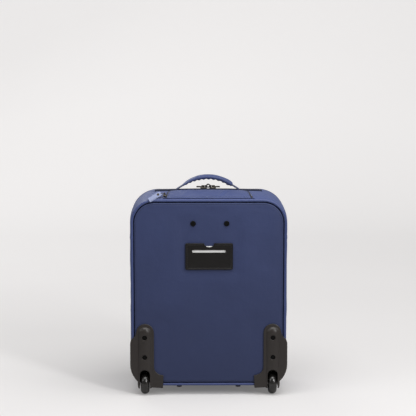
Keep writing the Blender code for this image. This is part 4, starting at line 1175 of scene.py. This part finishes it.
def wheels():
    for side, (a, b) in zip(SIDES, WELL_BOXES):
        centre = (a + b) / 2
        place = Matrix.Translation(centre) @ ALONG_X
        radius, half = b.z - centre.z, (b.x - a.x) / 2
        body = f"wheel_{side}"
        crest = [(radius - 0.0085 + 0.0085 * math.cos(t), half * math.sin(t))
                 for t in np.linspace(math.pi / 2, -math.pi / 2, 25)]
        profile = [(0.0150, half - 0.0012), (0.0158, half - 0.0003)] + crest
        profile += [(0.0158, 0.0003 - half), (0.0150, 0.0012 - half)]
        tyre = lathe(f"tyre_{side}", profile, place, "rubber", body, 96)
        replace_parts(tyre, f"wheel_tyre_{side}")
        h = 0.0088  # half the hub's width
        profile = [(0.0148, h - 0.0004), (0.0144, h), (0.0132, h), (0.0128, h - 0.0005), (0.0122, 0.0058),
                   (0.0116, 0.0052), (0.0104, 0.0052), (0.0098, 0.0058), (0.0094, h - 0.0006), (0.0090, h),
                   (0.0084, h), (0.0082, h - 0.0004)]
        hub = lathe(f"hub_{side}", mirrored(profile), place, "hub", body, 72)
        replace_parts(hub, f"wheel_hub_{side}")
        profile = [(0.0079, 0.0078), (0.0075, 0.0081), (0.0068, 0.0081), (0.0066, 0.0076), (0.0046, 0.0076),
                   (0.0044, 0.0081), (0.0034, 0.0081), (0.0031, 0.0078)]
        bearing = lathe(f"bearing_{side}", mirrored(profile), place, "steel", body, 56)
        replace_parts(bearing, f"wheel_bearing_{side}")


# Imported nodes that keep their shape: the look and the width of the rounding of their edges.
HARD_PARTS = [("lower_pocket_slider", "antique", 0.0003), ("upper_pocket_slider", "antique", 0.0003),
              ("trolley_bezel", "plastic", 0.0006), ("trolley_grip", "plastic", 0.0006),
              ("trolley_button", "smooth_plastic", 0.0004), ("tube_foot_bar", "plastic", 0.0005),
              ("id_card", "card", 0.0001)]


def hard_parts():
    for side in SIDES:
        remeshed(dress(f"wheel_housing_{side}", "plastic"), 0.0009, 3)
        dress(f"wheel_axle_{side}", "steel")
        for name in (f"bezel_screw_{side}", f"housing_screw_upper_{side}", f"housing_screw_lower_{side}"):
            rounded(dress(name, "screw"), 0.0002)
        rounded(dress(f"front_foot_{side}", "plastic"), 0.0025, 4)
        for name in (f"main_slider_{side}", f"main_pull_{side}"):
            plumper(rounded(dress(name, "antique"), 0.00025), 0.00055)
        for stage in ("outer", "middle", "inner"):
            dress(f"{stage}_tube_{side}", "aluminium")
    plumper(rounded(dress("cover_slider", "antique"), 0.00025), 0.0004)
    for name, look, width in HARD_PARTS:
        rounded(dress(name, look), width)
    dress("release_yoke", "steel")
    dress("frame_board", "board")


# ---------------------------------------------------------------- front: lid panel and pockets

def lid_panel():
    loop = panel_loop(node="lid_panel")
    verts, faces, edge = sheet(loop, 0.0044, (0.0004, 0.0010, 0.0018, 0.0027, 0.0034, 0.0044))
    x, z = verts.T
    a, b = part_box("lid_panel")
    y = a.y + (b.y - a.y) * rolled(edge, 0.0026)
    points = np.stack([x, np.zeros(len(x)), z], 1)
    swell = soft_noise(points, 12.0, 15.5) * 0.0005 - 0.0003
    y = y + np.minimum(swell * smoothstep(0.004, 0.022, edge), 0.0003)
    y = y - 0.0005 * gauss(edge - STITCH_INSET, 0.0007)
    panel = new_piece("front_cloth", np.stack([x, y, z], 1), faces, "panel", "lid")
    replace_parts(facing_out(panel, (0, 1, 0)), "lid_panel")


CLOTH_STEPS = 20
CLOTH_CAP = 0.006
CLOTH_SETTINGS = {"quality": 6, "mass": 0.2, "use_pressure": True, "uniform_pressure_force": 4.0,
                  "tension_stiffness": 18, "compression_stiffness": 8, "shear_stiffness": 6,
                  "bending_stiffness": 0.6, "vertex_group_mass": "held"}


def inflate(node, name, zip_z):
    """A pocket filled by cloth simulation, held along its seam and its zip. No point moves past CLOTH_CAP."""
    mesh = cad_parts[node].data.copy()
    mesh.name = name
    mesh.materials.clear()
    mesh.materials.append(LOOKS["panel"])
    obj = link(bpy.data.objects.new(name, mesh))
    bpy.context.view_layer.objects.active = obj
    remesh = obj.modifiers.new("even", "REMESH")
    remesh.mode = "VOXEL"
    remesh.voxel_size = 0.005
    bake_modifiers(obj)
    mesh = obj.data
    a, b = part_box(node)
    rest = np.array([v.co for v in mesh.vertices])
    held = rest[:, 1] < a.y + 0.006
    held |= (np.abs(rest[:, 2] - zip_z) < 0.007) & (rest[:, 1] > b.y - 0.006)
    group = obj.vertex_groups.new(name="held")
    group.add([int(i) for i in np.nonzero(held)[0]], 1.0, "REPLACE")
    cloth_mod = obj.modifiers.new("cloth", "CLOTH")
    for key, value in CLOTH_SETTINGS.items():
        setattr(cloth_mod.settings, key, value)
    cloth_mod.settings.effector_weights.gravity = 0.0
    cloth_mod.point_cache.frame_start = 1
    cloth_mod.point_cache.frame_end = CLOTH_STEPS
    for number in range(1, CLOTH_STEPS + 1):
        bpy.context.scene.frame_set(number)
    bake_modifiers(obj)
    mesh = obj.data
    now = np.array([v.co for v in mesh.vertices])
    move = now - rest
    distance = np.linalg.norm(move, axis=1)
    scale = np.where(distance > CLOTH_CAP, CLOTH_CAP / np.maximum(distance, 1e-9), 1.0)
    final = rest + move * scale[:, None]
    final[:, 1] = np.maximum(final[:, 1], a.y)
    final[:, 1] += soft_noise(rest, 34.0, 7.0) * 0.0007 * (rest[:, 1] > b.y - 0.006)
    # The slider's pull hangs in front of the cloth just below the zip, all the way along it.
    below = smoothstep(0.032, 0.050, zip_z - rest[:, 2]) + smoothstep(0.009, 0.022, rest[:, 2] - zip_z)
    final[:, 1] = np.minimum(final[:, 1], b.y + 0.0004 + 0.008 * below)
    for v, p in zip(mesh.vertices, final):
        v.co = p
    shade_smooth(mesh)
    finer = obj.modifiers.new("smooth", "SUBSURF")
    finer.levels = finer.render_levels = 1
    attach(obj, "lid")
    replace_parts(obj, node)


def bake_modifiers(obj):
    graph = bpy.context.evaluated_depsgraph_get()
    looks = list(obj.data.materials)
    mesh = bpy.data.meshes.new_from_object(obj.evaluated_get(graph))
    obj.modifiers.clear()
    obj.data = mesh
    mesh.materials.clear()
    for look in looks:
        mesh.materials.append(look)


def pockets():
    for name in ("lower", "upper"):
        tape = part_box(f"{name}_pocket_zip")
        zip_z = (tape[0].z + tape[1].z) / 2
        inflate(f"{name}_pocket", f"{name}_pouch", zip_z)
        half, y = tape[1].x, tape[0].y
        profile = [(-0.0062, -0.0008), (-0.0058, 0.0006), (-0.0030, 0.0007), (-0.0008, 0.0006)]
        profile += [(-dz, dy) for dz, dy in reversed(profile)]
        xs = np.linspace(-half, half, 100)
        rows = [[(x, y + dy - 0.0002, zip_z + dz) for x in xs] for dz, dy in profile]
        strip = facing_out(rows_piece(f"{name}_pocket_tape", rows, "zip_tape", "lid"), (0, 1, 0))
        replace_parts(thicken(strip, 0.0005), f"{name}_pocket_zip")
        for side, row in ((-1, "low"), (1, "high")):
            path = [(x, y + 0.0007, zip_z + side * 0.0008) for x in (-half, half)]
            places = [(p, UP, (0, 1, 0)) for p, _ in stations(path, COIL_PITCH, COIL_PITCH / 2 * (side > 0))]
            beads(f"{name}_pocket_coil_{row}", places, (0.0023, 0.0010, 0.0012), "coil", "lid")
        a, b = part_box(f"{name}_pocket")
        loop = np.array(rounded_rectangle(0.0, (b.z + a.z) / 2, b.x, (b.z - a.z) / 2, 0.012, 0.003))
        centres = np.insert(loop, 1, a.y + 0.0010, 1)
        tube_along(f"{name}_pocket_piping", centres, -inward_normals(loop), 0.0021, "piping", "lid", True)


# ---------------------------------------------------------------- interior

def lining():
    """A thin tub of cloth, open to the front."""
    a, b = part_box("body_lining")

    def outline(y):
        bulge = float(crown(y))
        points = ring(SEAM_HALF + SIDE_CROWN * bulge - 0.005, 0.031, SEAM_HIGH + TOP_CROWN * bulge - 0.005,
                      0.045 + TOP_CORNER_GROWTH * bulge, 0.050, pitch=0.005)[0]
        return np.insert(points, 1, y, 1)

    wall = [outline(y) for y in spread_depths(a.y, b.y, 0.004)]
    back = wall[0]
    centre = np.array([0.0, a.y, (a.z + b.z) / 2])
    rows = [centre + (back - centre) * t for t in np.linspace(0.02, 0.97, 26)] + wall
    grid = np.array(rows)
    flat = grid.reshape(-1, 3)
    crumple = np.maximum(0.0007 - soft_noise(flat, 22.0, 12.0) * 0.0008, 0.0)
    inward = centre + np.array([0.0, 0.05, 0.0]) - flat
    inward /= np.linalg.norm(inward, axis=1)[:, None]
    flat = flat + inward * crumple[:, None]
    count = grid.shape[1]
    faces = grid_faces(len(rows), count, True) + [tuple(range(count))]
    tub = cleaned(new_piece("lining_tub", flat, faces, "lining", "case"))
    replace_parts(thicken(tub, TAPE_THICK, 0.0), "body_lining")


def lid_lining():
    a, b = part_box("lid_lining")
    verts, faces, edge = sheet(ring(b.x, a.z, b.z, 0.046, 0.052)[0], 0.006, (0.001, 0.003))
    x, z = verts.T
    spots = np.stack([x, np.zeros(len(x)), z], 1)
    y = (a.y + b.y) / 2 + soft_noise(spots, 20.0, 18.0) * 0.0012 * smoothstep(0.0, 0.02, edge) - 0.0006
    sheet_piece = new_piece("lid_lining_cloth", np.stack([x, y, z], 1), faces, "lining", "lid")
    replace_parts(thicken(facing_out(sheet_piece, (0, -1, 0)), TAPE_THICK), "lid_lining")


# ---------------------------------------------------------------- build the looks

case_skin()
lid_skin()
hinge_cloth()
rear_panel()
seam_flange("rear_flange", "case", -0.0903, -1)
seam_flange("front_flange", "lid", 0.0730, 1)
piping("rear_cord", REAR_PIPING_Y, "case", outside_openings, ("rear_piping", "rear_piping_bottom"))
piping("front_cord", FRONT_PIPING_Y, "lid", None, ("front_piping",))
rear_path = [(x, PANEL_FACE_Y + 0.0004, z) for x, z in panel_loop(STITCH_INSET)]
stitches("panel_stitches", rear_path + rear_path[:1], (0, -1, 0), "dark_thread", "case",
         skip=lambda p: p[2] < 0.16 and abs(p[0]) > 0.103)
front_path = [(x, high("lid_panel").y - 0.0004, z) for x, z in panel_loop(STITCH_INSET, "lid_panel")]
stitches("front_stitches", front_path + front_path[:1], (0, 1, 0), "dark_thread", "lid")
main_zip()
flap()
cover_zip()
base_strap()
carry_handle()
cover_pull()
holder()
wheels()
hard_parts()
lid_panel()
pockets()
lining()
lid_lining()


# ---------------------------------------------------------------- stage, light and camera

FLOOR_GLOW = 0.14
GLOW_RISES = ((0.0, 1.4, 0.26), (1.4, 3.2, 0.21), (3.2, 6.5, 0.12))


def stage():
    """A pale floor that sweeps up into a backdrop, far behind."""
    rows = []
    for y, z in [(-6.0, 0.0), (2.2, 0.0)] + [(2.2 + 1.2 * math.sin(t), 1.2 - 1.2 * math.cos(t))
                                            for t in np.linspace(0.05, math.pi / 2, 16)] + [(3.4, 5.0)]:
        rows.append([(x, y, z) for x in (-7.0, -2.0, 2.0, 7.0)])
    grid = np.array(rows)
    mesh = bpy.data.meshes.new("backdrop")
    mesh.from_pydata([tuple(v) for v in grid.reshape(-1, 3)], [], grid_faces(len(rows), 4, False))
    shade_smooth(mesh)
    floor = link(bpy.data.objects.new("backdrop", mesh))
    r = Recipe("pale_paper")
    seen = r.add("ShaderNodeLightPath").outputs["Is Camera Ray"]
    base = r.mix(r.noise(1.5, 2.0), (0.555, 0.542, 0.538), (0.57, 0.56, 0.556))
    base = r.mix(seen, (0.50, 0.49, 0.485), base)
    away = r.add("ShaderNodeVectorMath", {"operation": "LENGTH"}, {0: r.place}).outputs["Value"]
    glow = 0.0
    for start, end, rise in GLOW_RISES:
        glow = r.math("ADD", r.spread(away, 0.0, rise, start, end), glow)
    glow = r.math("MULTIPLY", r.math("ADD", glow, FLOOR_GLOW), seen)
    mesh.materials.append(r.surface(Base_Color=base, Roughness=0.9, Specular_IOR_Level=0.1,
                                    Emission_Color=(1.0, 0.985, 0.98, 1.0), Emission_Strength=glow))


def area_light(name, place, target, size, power, spread=180.0):
    data = bpy.data.lights.new(name, "AREA")
    data.shape = "RECTANGLE"
    data.size, data.size_y = size
    data.energy = power
    data.spread = math.radians(spread)
    lamp = link(bpy.data.objects.new(name, data))
    lamp.location = place
    lamp.rotation_mode = "QUATERNION"
    lamp.rotation_quaternion = (Vector(target) - Vector(place)).to_track_quat("-Z", "Y")


def camera():
    azimuth, elevation = math.radians(-0.55), math.radians(8.0)
    target = Vector((-0.0017, -0.093, 0.4272))
    back = Vector((math.sin(azimuth) * math.cos(elevation), -math.cos(azimuth) * math.cos(elevation),
                   math.sin(elevation)))
    data = bpy.data.cameras.new("camera")
    data.lens = 116.9
    data.sensor_width = 36.0
    view = link(bpy.data.objects.new("camera", data))
    view.location = target + back * 3.0
    view.rotation_mode = "QUATERNION"
    view.rotation_quaternion = (-back).to_track_quat("-Z", "Y")
    bpy.context.scene.camera = view


stage()
area_light("overhead", (0.20, -0.45, 1.8), (0.0, 0.0, 0.4), (1.8, 1.2), 29.0)
area_light("right_key", (1.3, -1.7, 1.45), (0.0, 0.0, 0.48), (0.35, 1.2), 7.0, 90.0)
area_light("front_fill", (-1.2, 2.2, 1.9), (0.0, 0.0, 0.3), (1.5, 1.0), 15.0)
area_light("left_fill", (-2.0, -1.2, 1.6), (0.0, 0.0, 0.42), (0.9, 1.2), 3.0, 110.0)
world = bpy.data.worlds.new("studio")
world.use_nodes = True
air = world.node_tree.nodes["Background"]
seen = world.node_tree.nodes.new("ShaderNodeLightPath")
shade = world.node_tree.nodes.new("ShaderNodeMapRange")
shade.inputs["To Min"].default_value = 0.20
shade.inputs["To Max"].default_value = 0.82
world.node_tree.links.new(seen.outputs["Is Camera Ray"], shade.inputs["Value"])
world.node_tree.links.new(shade.outputs[0], air.inputs["Strength"])
air.inputs["Color"].default_value = (1.0, 0.99, 0.985, 1.0)
bpy.context.scene.world = world
bpy.context.scene.view_settings.view_transform = "Standard"
camera()

bpy.context.view_layer.update()
